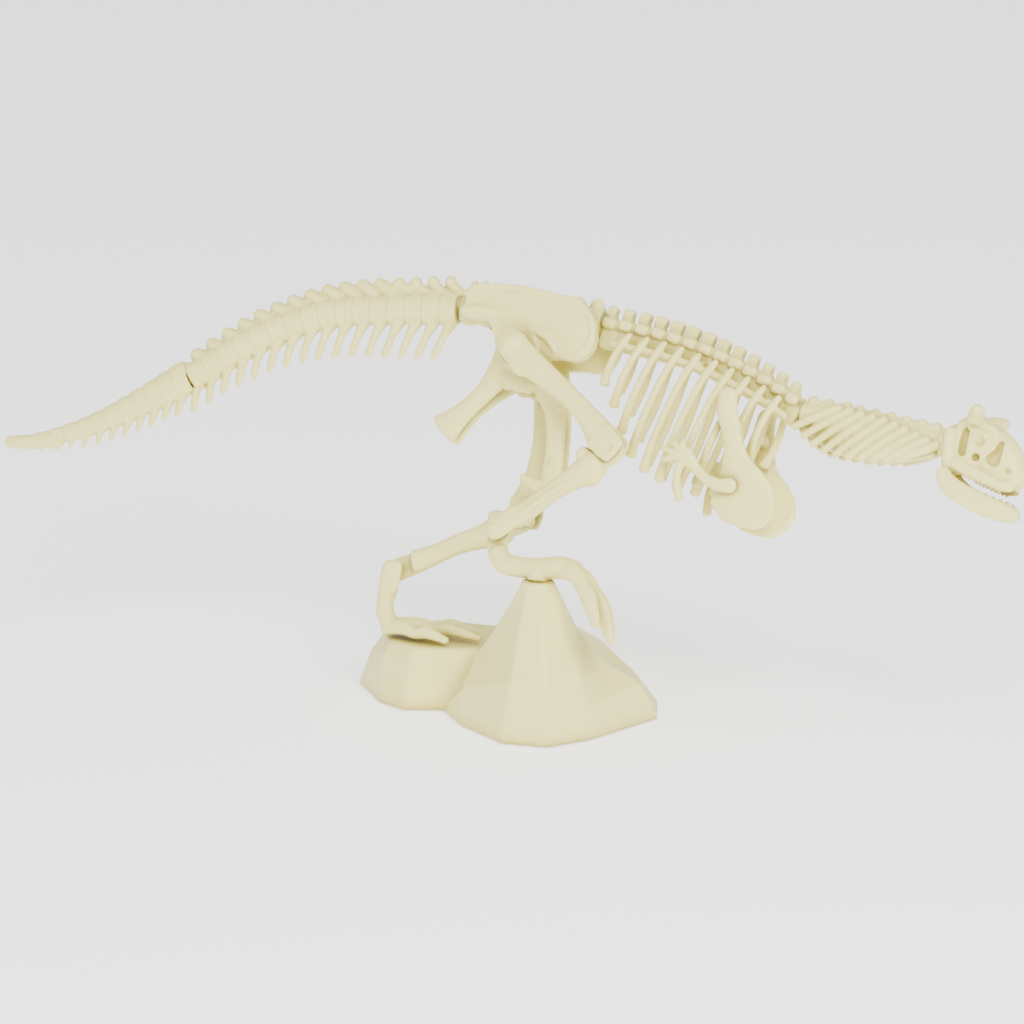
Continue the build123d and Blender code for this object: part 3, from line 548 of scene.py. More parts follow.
@dataclass(frozen=True)
class MouldedPlastic:
    """Satin ivory plastic with a fine moulded grain; its hollows get painted shade, a darker and warmer
    colour, plus a little random mottle.
    """

    slot: str
    # The plastic's own colour, used where the surface is open.
    light: Colour = (0.84, 0.775, 0.27, 1.0)
    # Painted shade: a darker, warmer colour mixed in where ambient occlusion finds hollows and crevices.
    painted_shade_colour: Colour = (0.40, 0.32, 0.04, 1.0)
    roughness: float = 0.42
    grain_scale: float = 2600.0
    grain_height: float = 0.00009
    mottle_scale: float = 90.0
    glow: float = 0.18
    glow_radius: Point = (1.0, 0.75, 0.30)
    glow_reach: float = 0.0022
    specular: float = 0.42
    grain_strength: float = 0.55
    patch_strength: float = 0.10
    sky_samples: int = 6
    # Painted shade in hollows at two reaches: broad crevices and fine grooves.
    hollows: tuple[Hollow, Hollow] = (Hollow(0.006, 0.95, 0.35, 0.9), Hollow(0.0012, 0.93, 0.55, 0.8))

    def build(self) -> bpy.types.Material:
        """Makes the material.

        Returns:
            The material.
        """
        material = bpy.data.materials.new(self.slot)
        material.use_nodes = True
        tree = material.node_tree
        link = tree.links.new
        shader = tree.nodes["Principled BSDF"]
        shader.inputs["Base Color"].default_value = self.light
        shader.inputs["Roughness"].default_value = self.roughness
        shader.inputs["Specular IOR Level"].default_value = self.specular
        shader.inputs["Subsurface Weight"].default_value = self.glow
        shader.inputs["Subsurface Radius"].default_value = self.glow_radius
        shader.inputs["Subsurface Scale"].default_value = self.glow_reach
        place = tree.nodes.new("ShaderNodeTexCoord")
        centre = tree.nodes.new("ShaderNodeMapping")
        centre.inputs["Location"].default_value = (0.0, 0.0, -0.06)
        link(place.outputs["Object"], centre.inputs["Vector"])
        grain = self._noise(tree, centre, self.grain_scale, 3.0)
        mottle = self._noise(tree, centre, self.mottle_scale, 2.0)
        bump = tree.nodes.new("ShaderNodeBump")
        bump.inputs["Strength"].default_value = self.grain_strength
        bump.inputs["Distance"].default_value = self.grain_height
        link(grain.outputs["Fac"], bump.inputs["Height"])
        link(bump.outputs["Normal"], shader.inputs["Normal"])
        # Painted shade in hollows from ambient occlusion, plus a little random mottle.
        shade = self._shade_and_mottle_share(tree, mottle)
        blend = tree.nodes.new("ShaderNodeMix")
        blend.data_type = "RGBA"
        blend.inputs["A"].default_value = self.light
        blend.inputs["B"].default_value = self.painted_shade_colour
        link(shade.outputs["Value"], blend.inputs["Factor"])
        link(blend.outputs["Result"], shader.inputs["Base Color"])
        return material

    @staticmethod
    def _noise(
        tree: bpy.types.NodeTree, centre: bpy.types.Node, scale: float, detail: float
    ) -> bpy.types.Node:
        """Noise on the centred coordinates.

        Args:
            tree: Node tree that is added to.
            centre: Node that gives the coordinates.
            scale: How fine the noise is.
            detail: Its octaves.

        Returns:
            The noise node.
        """
        noise = tree.nodes.new("ShaderNodeTexNoise")
        noise.inputs["Scale"].default_value = scale
        noise.inputs["Detail"].default_value = detail
        tree.links.new(centre.outputs["Vector"], noise.inputs["Vector"])
        return noise

    def _shade_and_mottle_share(self, tree: bpy.types.NodeTree, mottle: bpy.types.Node) -> bpy.types.Node:
        """How far a spot turns to the painted shade colour: painted shade in hollows, and a little random
        mottle in broad patches.

        Args:
            tree: Node tree that is added to.
            mottle: Noise of the broad patches.

        Returns:
            The node that gives the share.
        """
        deeper = tree.nodes.new("ShaderNodeMath")
        deeper.operation = "MAXIMUM"
        for socket, hollow in zip(deeper.inputs, self.hollows):
            tree.links.new(self._depth(tree, hollow).outputs["Result"], socket)
        patch = tree.nodes.new("ShaderNodeMath")
        patch.operation = "MULTIPLY_ADD"
        patch.use_clamp = True
        patch.inputs[1].default_value = self.patch_strength
        tree.links.new(mottle.outputs["Fac"], patch.inputs[0])
        tree.links.new(deeper.outputs["Value"], patch.inputs[2])
        return patch

    def _depth(self, tree: bpy.types.NodeTree, hollow: Hollow) -> bpy.types.Node:
        """How deep a spot lies in hollows of one reach, found by ambient occlusion; this drives the painted
        shade.

        Args:
            tree: Node tree that is added to.
            hollow: The hollows that are looked for.

        Returns:
            The node that gives the depth.
        """
        open_sky = tree.nodes.new("ShaderNodeAmbientOcclusion")
        open_sky.samples = self.sky_samples
        open_sky.inputs["Distance"].default_value = hollow.reach
        depth = tree.nodes.new("ShaderNodeMapRange")
        depth.inputs["From Min"].default_value = hollow.open_limit
        depth.inputs["From Max"].default_value = hollow.closed_limit
        depth.inputs["To Max"].default_value = hollow.strength
        tree.links.new(open_sky.outputs["AO"], depth.inputs["Value"])
        return depth


@dataclass(frozen=True)
class PaperFloor:
    """Matt white paper that the stand rests on."""

    colour: Colour = (0.93, 0.93, 0.92, 1.0)
    glow: float = 1.1
    roughness: float = 0.9

    def build(self) -> bpy.types.Material:
        """Makes the material.

        Returns:
            The material.
        """
        material = bpy.data.materials.new("paper")
        material.use_nodes = True
        shader = material.node_tree.nodes["Principled BSDF"]
        shader.inputs["Base Color"].default_value = self.colour
        shader.inputs["Roughness"].default_value = self.roughness
        shader.inputs["Emission Color"].default_value = WHITE
        shader.inputs["Emission Strength"].default_value = self.glow
        return material


# ---- pieces ------------------------------------------------------------------------------------------
@dataclass
class Piece:
    """A kit part that stands for one CAD node and rides on one body."""

    node: str = ""
    body: str = ""
    side: Side = Side.RIGHT
    grade: Grade = Grade.MEDIUM
    soften: int = 3
    lumps: float = 0.10
    slot: str = "bone_plastic"

    def model(self, clay: Clay) -> None:
        """Adds the piece's bones to the clay."""
        raise NotImplementedError

    def cut(self, clay: Clay) -> bool:
        """Adds what is taken out of the piece; returns whether there is anything."""
        return False

    def place(self) -> Matrix:
        """Placement within the body frame."""
        return Matrix.Identity(4)

    def build(self, body_frame: BodyFrame, finish: bpy.types.Material) -> bpy.types.Object:
        """Models the piece and ties it to its CAD node and body.

        Args:
            body_frame: The frame that it is modelled in.
            finish: Its material.

        Returns:
            The finished object.
        """
        clay = Clay(self.side)
        self.model(clay)
        obj = clay.cast(f"{self.node}_look", self.grade, self.soften, self.lumps)
        cutter = Clay(self.side)
        if self.cut(cutter):
            carve(obj, cutter.cast(f"{self.node}_cutter", self.grade, 1), self.grade)
        else:
            bpy.ops.object.mode_set(mode="OBJECT")
            bpy.data.objects.remove(cutter.obj)
        settle(obj, self.world(body_frame) @ self.place())
        obj.data.materials.append(finish)
        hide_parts(self.node)
        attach(obj, self.body)
        log.info("%s: %d faces", self.node, len(obj.data.polygons))
        return obj

    def world(self, body_frame: BodyFrame) -> Matrix:
        """Frame that the piece is drawn in."""
        return body_frame.matrix


@dataclass
class TailBase(Piece):
    """Front two thirds of the tail, with a ridge of spines above and chevrons below."""

    line: tuple[Place, ...] = ((-25.0, 11.0), (-45.0, 9.0), (-66.0, 5.4), (-86.0, -3.6), (-104.3, -17.0))
    vertebrae: int = 16
    half_width: tuple[float, float] = (3.8, 3.2)
    half_depth: tuple[float, float] = (4.6, 4.3)
    spine_rise: tuple[float, float] = (8.0, 4.8)
    chevron_drop: tuple[float, float] = (15.2, 11.4)
    balls: int = 4
    grade: Grade = Grade.FINE
    soften: int = 1

    def model(self, clay: Clay) -> None:
        """Adds the vertebrae from the hips backwards.

        Args:
            clay: The mass that is added to.
        """
        for index in range(self.vertebrae):
            share = (index + 0.5) / self.vertebrae
            half = 0.5 / self.vertebrae
            self._centrum(clay, share, half)
            self._spine(clay, share, index < self.balls)
            self._chevron(clay, share)
        crest = []
        for share in (0.16, 0.3, 0.5, 0.7, 0.86, 0.98):
            x, z = on_line(self.line, share)
            crest.append((x, 0, z + mix(*self.spine_rise, share) - 1.5, 1.5, 2.0))
        clay.bone(*crest)
        x, z = self.line[0]
        clay.bone((x - 4.0, 0, z + 1.0, 2.2, 2.6), (x + 4.6, 0, z + 1.5, 1.7, 1.7))

    def _centrum(self, clay: Clay, share: float, half: float) -> None:
        """One barrel with a narrow waist at either seam.

        Args:
            clay: The mass that is added to.
            share: Place along it, from 0 to 1.
            half: Half of its share of the line.
        """
        wide = mix(*self.half_width, share)
        deep = mix(*self.half_depth, share)
        rows = []
        for offset, size in ((-1.0, 0.72), (-0.84, 0.97), (0.0, 0.95), (0.84, 1.0), (1.0, 0.72)):
            x, z = on_line(self.line, share + offset * half)
            rows.append((x, 0, z, wide * size, deep * size))
        clay.bone(*rows, domes=(False, False), sides=16)

    def _spine(self, clay: Clay, share: float, ball: bool) -> None:
        """One slanting spine of the ridge, or a ball on a thin strut near the hips.

        Args:
            clay: The mass that is added to.
            share: Place along it, from 0 to 1.
            ball: Whether it ends in a ball.
        """
        x, z = on_line(self.line, share)
        rise = mix(*self.spine_rise, share)
        if ball:
            clay.bone(
                (x + 5.4, 0, z + 4.2, 1.5, 1.2),
                (x + 2.0, 0, z + 5.2, 1.5, 1.5),
                (x - 0.6, 0, z + 0.86 * rise, 1.5, 1.6),
            )
            clay.knob((x - 1.4, 0, z + rise), (1.75, 1.8, 1.9), 20)
            clay.knob((x, 0, z + 3.4), (2.7, 2.2, 1.6))
            return
        clay.bone(
            (x + 4.4, 0, z + 3.6, 1.8, 1.4),
            (x + 1.0, 0, z + mix(4.3, rise, 0.5), 2.3, 2.1),
            (x - 2.0, 0, z + rise + 0.2, 1.9, 2.0),
        )

    def _chevron(self, clay: Clay, share: float) -> None:
        """One blade under the tail, leaning back, with a broad root and a rounded tip.

        Args:
            clay: The mass that is added to.
            share: Place along it, from 0 to 1.
        """
        x, z = on_line(self.line, share)
        drop = mix(*self.chevron_drop, share)
        lean = drop * mix(0.2, -0.04, share)
        clay.bone(
            (x + 0.6, 0, z - 3.2, 1.8, 2.4),
            (x + 0.2, 0, z - 0.36 * drop, 1.2, 1.7),
            (x - 0.3 * lean, 0, z - 0.54 * drop, 0.9, 1.2),
            (x - 0.7 * lean, 0, z - 0.80 * drop, 0.8, 1.15),
            (x - lean, 0, z - drop + 0.4, 0.7, 0.85),
        )


@dataclass
class TailTip(Piece):
    """Last third of the tail, running down to a blunt point."""

    line: tuple[Place, ...] = (
        (-104.9, -17.6), (-118.0, -26.2), (-133.0, -34.6), (-148.0, -39.8), (-158.0, -41.6),
    )
    vertebrae: int = 13
    grade: Grade = Grade.FINE
    soften: int = 1

    def model(self, clay: Clay) -> None:
        """Adds the shrinking vertebrae and a smooth end.

        Args:
            clay: The mass that is added to.
        """
        for index in range(self.vertebrae):
            share = (index + 0.5) / self.vertebrae
            size = max(1.0 - 0.92 * share, 0.2)
            self._vertebra(clay, share, 0.5 / self.vertebrae, size)
        tip_x, tip_z = self.line[-1]
        clay.bone(
            (tip_x + 16.0, 0, tip_z + 2.6, 1.8, 2.5),
            (tip_x + 7.0, 0, tip_z + 1.0, 1.6, 2.1),
            (tip_x + 0.4, 0, tip_z, 1.3, 1.6),
        )
        x, z = self.line[0]
        clay.bone((x - 4.0, 0, z - 2.6, 2.0, 2.6), (x + 4.2, 0, z + 3.2, 1.6, 1.6))

    def _vertebra(self, clay: Clay, share: float, half: float, size: float) -> None:
        """One vertebra with its spine and chevron in one slanting lump.

        Args:
            clay: The mass that is added to.
            share: Place along it, from 0 to 1.
            half: Half of its share of the line.
            size: Size against the first vertebra.
        """
        rows = []
        for offset, waist in ((-1.0, 0.84), (-0.8, 0.97), (0.8, 1.0), (1.0, 0.84)):
            x, z = on_line(self.line, share + offset * half)
            rows.append((x, 0, z + 1.1 * size, (0.7 + 2.6 * size) * waist, (1.0 + 4.4 * size) * waist))
        clay.bone(*rows, domes=(False, False))
        x, z = on_line(self.line, share)
        clay.bone(
            (x + 1.8 * size + 0.6, 0, z + 1.2 * size, 1.7 * size + 0.2, 2.3 * size + 0.3),
            (x + 0.2 * size, 0, z + 4.2 * size + 0.4, 1.5 * size + 0.2, 2.2 * size + 0.4),
        )
        if share < 0.86:
            clay.bone(
                (x + 0.8, 0, z - 2.4 * size, 1.2 * size + 0.3, 1.5 * size + 0.3),
                (x + 0.4 * size, 0, z - 5.4 * size - 0.7, 0.8, 1.0 * size + 0.3),
                (x - 0.1 * size, 0, z - 8.4 * size - 1.2, 0.55, 0.6 * size + 0.3),
            )


@dataclass
class Sacrum(Piece):
    """Fused vertebrae between the hip bones."""

    start: float = -24.2
    end: float = 20.2
    middle: float = 11.4
    wings: tuple[float, ...] = (-17.0, -9.5, -1.0, 7.5, 15.0)

    def model(self, clay: Clay) -> None:
        """Adds the barrels, the wings that meet the hip bones and the crest.

        Args:
            clay: The mass that is added to.
        """
        count = 8
        step = (self.end - self.start) / count
        for index in range(count):
            x = self.start + (index + 0.5) * step
            clay.bone(
                (x - step / 2 + 0.15, 0, self.middle, 2.8, 4.1),
                (x, 0, self.middle, 3.3, 4.8),
                (x + step / 2 - 0.15, 0, self.middle, 2.8, 4.1),
                domes=(False, False),
            )
            clay.bone((x + 1.0, 0, self.middle + 3.0, 1.4, 2.2), (x - 0.6, 0, self.middle + 5.6, 1.5, 2.0))
        for x in self.wings:
            clay.block((x, 0, self.middle + 0.4), (3.4, 13.8, 4.2), 0, 0.9)


@dataclass
class Hip(Piece):
    """Hip blade with the thigh's socket, and half of the pubis and of the ischium."""

    inner: float = -7.1
    outer: float = -10.4
    grade: Grade = Grade.MEDIUM
    blade: tuple[Place, ...] = (
        (-19, 13.0), (-18, 16.4), (-13, 17.8), (-2, 18.2), (9, 17.0), (15.5, 16.2), (20, 12.8), (22.6, 7.0),
        (22.2, 2.0), (18.6, -1.6), (13, -1.6), (7, -2.4), (2, -4.5), (-5, -4.0),
        (-9.5, 5.4), (-13, 7.4), (-18.4, 7.6),
    )

    def model(self, clay: Clay) -> None:
        """Adds the blade, its rims and the two lower bars.

        Args:
            clay: The mass that is added to.
        """
        clay.plate(self.blade, self.inner, self.outer, 0.9)
        clay.bone((-18.6, -9.6, 9.4, 1.8, 1.7), (-13, -9.9, 9.9, 1.8, 1.8), (-6, -9.4, 9.0, 1.8, 2.2))
        clay.bone((9, -9.2, 7.0, 1.6, 4.2), (15, -9.4, 6.4, 1.8, 5.2), (18.8, -9.1, 5.6, 1.7, 4.2))
        clay.bone(
            (17.0, -9.3, 14.0, 1.4, 1.1),
            (20.9, -9.4, 10.0, 1.5, 1.1),
            (21.5, -9.4, 5.0, 1.5, 1.1),
            (18.6, -9.3, 0.6, 1.4, 1.1),
        )
        clay.bone((-14, -9.0, 14.8, 1.5, 2.2), (-4, -9.3, 14.2, 1.7, 3.0), (6, -9.2, 13.4, 1.6, 2.8))
        clay.bone((2.0, -9.6, 6.0, 1.8, 1.8), (7.6, -9.8, 4.4, 1.7, 1.4), (11.4, -9.4, 0.2, 1.5, 1.1))
        clay.knob((0.6, -6.0, -7.0), (7.6, 1.9, 4.8), 6)
        for x, z, size in ((-3.6, -10.2, 1.3), (0.2, -10.8, 1.1), (3.6, -10.4, 1.4)):
            clay.knob((x, -5.6, z), (size, 1.5, size))
        for x, z, size in ((-17.5, 17.2, 1.1), (-14.2, 18.0, 0.9), (-19.6, 14.6, 1.2)):
            clay.knob((x, -8.9, z), (size, 1.3, size))
        clay.bone((0, -8.0, 0, 6.4, 6.4), (0, -11.1, 0, 6.0, 6.0), domes=(False, False), sides=20)
        self._ischium(clay)
        self._pubis(clay)

    def _ischium(self, clay: Clay) -> None:
        """Bar that runs down and back to a flared end.

        Args:
            clay: The mass that is added to.
        """
        clay.bone(
            (-2.0, -8.4, 1.5, 2.2, 6.0),
            (-6.2, -5.2, -5.6, 2.0, 4.6),
            (-11.0, -2.9, -11.6, 1.8, 3.2),
            (-15.8, -2.0, -17.0, 1.7, 3.0),
            (-19.7, -2.0, -21.2, 1.7, 3.9),
            (-22.2, -2.0, -24.0, 1.7, 5.1),
        )

    def _pubis(self, clay: Clay) -> None:
        """Bar that runs straight down to a boot that points back.

        Args:
            clay: The mass that is added to.
        """
        clay.bone(
            (2.5, -8.4, 0.5, 2.0, 5.0),
            (7.4, -5.0, -8.0, 1.9, 4.1),
            (11.2, -2.4, -16.0, 1.7, 3.2),
            (12.8, -2.0, -26.0, 1.6, 2.9),
            (13.2, -2.0, -33.0, 1.7, 3.2),
            (13.6, -2.0, -37.4, 1.7, 3.3),
        )
        clay.bone((14.8, -2.0, -37.4, 1.7, 2.0), (9.0, -2.0, -37.2, 1.7, 2.0), (4.8, -2.0, -35.4, 1.4, 1.4))
        for x, z, size in ((8.9, -12.0, 1.3), (12.6, -14.6, 1.2), (13.3, -30.2, 1.1)):
            clay.knob((x, -3.2, z), (size, 1.4, size))


@dataclass
class Thigh(Piece):
    """Thigh bone hanging straight down from the hip, with a forked lower end."""

    swing: float = 54.0
    y: float = -LEG_OFFSET
    length: float = THIGH_LENGTH
    knee_width: float = 7.0
    slot_width: float = 3.3

    def place(self) -> Matrix:
        """Swung at the hip."""
        return swung(0, 0, self.swing)

    def model(self, clay: Clay) -> None:
        """Adds the head, the shaft and the knee's two cheeks.

        Args:
            clay: The mass that is added to.
        """
        y, end = self.y, -self.length
        clay.bone((0, -12.6, 0.4, 4.5, 4.7), (0.2, -14.2, 0.2, 4.2, 4.5), domes=(False, True), sides=16)
        clay.bone(
            (0.4, y + 0.4, 3.6, 2.6, 4.0),
            (-0.2, y, -3.0, 3.0, 4.6),
            (0.4, y - 0.2, -10.5, 2.8, 3.9),
            (1.4, y, -21.0, 2.5, 3.1),
            (1.4, y, -30.0, 2.6, 3.2),
            (0.6, y, end + 8.4, 3.3, 4.2),
            (0.0, y, end + 4.6, 3.5, 4.8),
            domes=(True, False),
        )
        clay.knob((-3.4, y - 0.6, -6.0), (1.8, 2.0, 3.6), -6)
        for hand in (-1, 1):
            cheek = y + hand * (self.slot_width + self.knee_width) / 4
            thick = (self.knee_width - self.slot_width) / 4
            clay.bone(
                (0, cheek, end + 6.0, thick, 4.6),
                (0, cheek, end + 0.6, thick + 0.25, 4.5),
                (0, cheek, end - 1.6, thick, 3.9),
            )
        clay.bone((0, y - 3.0, end, 1.7, 1.7), (0, y + 3.0, end, 1.7, 1.7))

    def cut(self, clay: Clay) -> bool:
        """Grooves along the shaft's outer face and dimples on the knee.

        Args:
            clay: The mass that is added to.

        Returns:
            Whether anything is taken out.
        """
        y, end = self.y, -self.length
        clay.bone(
            (2.0, y - 3.5, -8.0, 0.5, 0.5),
            (2.6, y - 3.2, -20.0, 0.5, 0.6),
            (1.8, y - 3.3, -33.0, 0.5, 0.5),
        )
        clay.knob((0.0, y - self.knee_width / 2 - 0.4, end + 0.2), (1.5, 0.9, 1.5))
        return True


@dataclass
class Shin(Piece):
    """Shin that hangs from a tongue at the knee and is halved at the ankle."""

    knee: Place = (0.0, 0.0)
    swing: float = 0.0
    y: float = -LEG_OFFSET
    length: float = SHIN_LENGTH
    tongue_width: float = 2.7

    def place(self) -> Matrix:
        """Swung at the knee."""
        return swung(*self.knee, self.swing)

    def model(self, clay: Clay) -> None:
        """Adds the tongue, the shaft with its ridge and the lap.

        Args:
            clay: The mass that is added to.
        """
        y, end = self.y, -self.length
        thin = self.tongue_width / 2
        clay.bone((0, y, 2.2, thin, 2.6), (0, y, 0, thin, 3.6), (0, y, -6.5, thin, 3.4), domes=(True, False))
        clay.bone(
            (0.2, y, -6.6, 3.5, 4.7),
            (0.4, y, -9.6, 3.5, 4.6),
            (0.2, y, -14.0, 2.9, 3.6),
            (-0.2, y, -21.0, 2.5, 3.0),
            (0.2, y, -28.0, 2.5, 3.0),
            (0.2, y, end + 8.2, 2.9, 3.5),
            (0.0, y, end + 6.4, 3.0, 3.5),
            domes=(True, False),
        )
        clay.knob((-4.1, y - 0.4, -8.2), (1.9, 2.6, 2.3), 0)
        clay.knob((3.9, y - 0.2, -9.6), (1.7, 2.2, 2.6), 0)
        clay.bone(
            (1.4, y - 2.0, -10.0, 1.0, 1.1),
            (0.8, y - 2.2, -22.0, 0.8, 0.9),
            (1.2, y - 2.2, end + 8.0, 0.9, 1.0),
        )
        lap = y - LAP_OFFSET
        clay.bone(
            (0, lap, end + 8.0, 1.35, 3.1),
            (0, lap, end + 1.0, 1.35, 3.5),
            (0, lap, end - 1.4, 1.3, 2.9),
        )
        clay.knob((0, y - 3.0, end), (1.5, 0.5, 1.5))
        clay.bone((0, y - 1.5, end, 1.05, 1.05), (0, y + 2.0, end, 1.05, 1.05))


@dataclass
class RightFoot(Piece):
    """Foot pinned on top of the rock, with its toes hanging down the far slope."""

    ankle: Place = (0.0, 0.0)
    y: float = -LEG_OFFSET
    peg_place: Place = (20.0, -66.0)
    toes: tuple[tuple[float, float], ...] = ((-4.6, 0.82), (0.0, 1.0), (4.6, 0.86))

    def model(self, clay: Clay) -> None:
        """Adds the ankle's inner half, the sole and three drooping toes.

        Args:
            clay: The mass that is added to.
        """
        x, z = self.ankle
        y = self.y
        lap = y + LAP_OFFSET
        clay.bone(
            (x - 0.2, lap, z + 1.6, 1.3, 2.9),
            (x, lap, z - 0.6, 1.35, 3.5),
            (x + 1.2, lap, z - 6.6, 1.4, 3.0),
        )
        clay.bone(
            (x + 1.6, y + 0.2, z - 6.2, 2.6, 3.0),
            (x + 4.4, y, z - 9.0, 2.9, 3.1),
            (x + 9.6, y, z - 9.6, 3.0, 3.0),
            (x + 15.6, y, z - 9.4, 3.2, 3.2),
            (x + 21.6, y, z - 8.4, 3.8, 3.3),
            (x + 26.4, y, z - 8.9, 3.8, 2.9),
        )
        for spread, reach in self.toes:
            self._toe(clay, (x + 23.5, z - 8.6), spread, reach)
        peg_x, peg_z = self.peg_place
        clay.bone(
            (peg_x, y - 0.2, peg_z + 3.4, 3.4, 3.4),
            (peg_x, y + 0.2, peg_z - 0.2, 3.0, 3.0),
            domes=(False, False),
        )
        clay.bone(
            (peg_x, y, peg_z + 1.0, 2.1, 2.1),
            (peg_x, y + 2.2, peg_z - 5.2, 2.1, 2.1),
            domes=(False, False),
        )

    def _toe(self, clay: Clay, root: Place, spread: float, reach: float) -> None:
        """One jointed toe with a blunt claw.

        Args:
            clay: The mass that is added to.
            root: Where the toe starts.
            spread: How far the toe leans sideways.
            reach: Length of the toe against the middle one.
        """
        x, z = root
        y = self.y
        clay.bone(
            (x - 1.0, y + 0.3 * spread, z, 1.9, 2.6),
            (x + 5.0 * reach, y + 0.6 * spread, z - 1.8 * reach, 2.0, 2.7),
            (x + 8.6 * reach, y + 0.75 * spread, z - 5.2 * reach, 1.7, 2.3),
            (x + 12.4 * reach, y + 0.95 * spread, z - 9.6 * reach, 1.8, 2.5),
            (x + 15.4 * reach, y + 1.1 * spread, z - 14.6 * reach, 1.6, 2.0),
            (x + 17.6 * reach, y + 1.15 * spread, z - 19.4 * reach, 1.1, 1.3),
        )


@dataclass
class LeftFoot(Piece):
    """Foot that stands level on the ledge of the rock."""

    ankle: Place = (0.0, 0.0)
    sole_height: float = 18.9
    y: float = LEG_OFFSET
    side: Side = Side.RIGHT
    toes: tuple[tuple[float, float], ...] = ((-4.0, 0.72), (1.5, 1.0), (7.0, 0.86))
    frame: BodyFrame | None = None

    def model(self, clay: Clay) -> None:
        """Adds the ankle's inner half, the upright shank and three toes.

        Args:
            clay: The mass that is added to.
        """
        x, z = self.ankle
        lap = self.y - LAP_OFFSET
        heel = self.frame.to_ground((x + 2.5, self.y, z - 17.0))
        ball = self.frame.from_ground((heel.x, heel.y, self.sole_height + 2.8))
        clay.bone(
            (x, lap, z + 1.4, 1.3, 2.9),
            (x, lap, z - 1.0, 1.35, 3.4),
            (x - 0.4, lap, z - 6.8, 1.4, 2.9),
        )
        clay.bone(
            (x - 0.8, self.y - 0.2, z - 6.0, 2.6, 3.0),
            (x - 1.0, self.y, z - 9.6, 2.4, 2.5),
            (x - 0.2, mix(self.y, ball.y, 0.6), z - 13.4, 2.7, 2.7),
            (x + 2.4, ball.y, ball.z, 2.9, 2.4),
        )
        clay.bone((x - 2.0, self.y - 0.6, z - 6.6, 0.9, 0.9), (x - 1.6, self.y - 0.2, z - 13.0, 0.9, 0.9))
        for spread, reach in self.toes:
            rows = []
            for step, share, rise, wide, deep in (
                (-1.5, 0.2, 2.6, 1.9, 2.3), (7.0, 0.6, 3.2, 1.7, 2.0), (12.0, 0.8, 2.3, 1.6, 1.7),
                (18.0, 1.0, 3.1, 1.6, 1.8), (26.5, 1.1, 1.5, 0.9, 1.0),
            ):
                along = step * (reach if step > 0 else 1.0)
                place = (heel.x + along, heel.y + share * spread, self.sole_height + rise)
                rows.append((*self.frame.from_ground(place), wide, deep))
            clay.bone(*rows)


@dataclass
class Back(Piece):
    """Dorsal spine with a row of knobs above and a chain of side knobs."""

    line: tuple[Place, ...] = BACK_LINE
    vertebrae: int = 13
    rise: float = 5.6
    half_across: float = 3.9

    def model(self, clay: Clay) -> None:
        """Adds the centra, the side knobs and the spines.

        Args:
            clay: The mass that is added to.
        """
        for index in range(self.vertebrae):
            share = (index + 0.5) / self.vertebrae
            middle = 1.0 - abs(2.0 * share - 0.9)
            self._vertebra(clay, share, 0.5 / self.vertebrae, max(middle, 0.1))
        for hand in (-1, 1):
            rail = []
            for share in (0.05, 0.25, 0.5, 0.75, 0.95):
                x, z = on_line(self.line, share)
                rail.append((x, hand * 1.7, z + 1.9, 1.3, 1.5))
            clay.bone(*rail)
        x, z = self.line[0]
        clay.bone((x + 2.0, 0, z, 1.6, 1.6), (x - 4.4, 0, z + 0.4, 1.6, 1.6))

    def _vertebra(self, clay: Clay, share: float, half: float, middle: float) -> None:
        """One barrel with its spine and two side knobs.

        Args:
            clay: The mass that is added to.
            share: Place along it, from 0 to 1.
            half: Half of its share of the line.
            middle: How near the thick middle of the back it is, from 0 to 1.
        """
        rows = []
        for offset, size in ((-1.0, 0.82), (-0.7, 0.98), (0.7, 1.0), (1.0, 0.82)):
            x, z = on_line(self.line, share + offset * half)
            rows.append((x, 0, z - 1.9, 2.7 * size, 3.5 * size))
        clay.bone(*rows, domes=(False, False))
        x, z = on_line(self.line, share)
        thick = 1.25 + 0.75 * middle
        clay.bone(
            (x + 0.6, 0, z + 1.0, 1.5, 1.7),
            (x - 0.1, 0, z + self.rise - 1.6, 1.3, 1.3),
            (x - 0.6, 0, z + self.rise, 1.6, 0.95 * thick),
        )
        clay.block((x - 0.6, 0, z + self.rise - 0.2), (2.2 * thick, 3.2, 3.8), 14, 0.8)
        for hand in (-1, 1):
            clay.bone(
                (x + 0.2, hand * 0.5, z + 1.6, 1.2, 1.3),
                (x, hand * (self.half_across - 1.6), z + 1.9, 1.5, 1.5),
                domes=(False, True),
            )
            clay.block((x, hand * (self.half_across - 1.3), z + 1.9), (4.5, 2.9, 3.2), 14, 1.0)


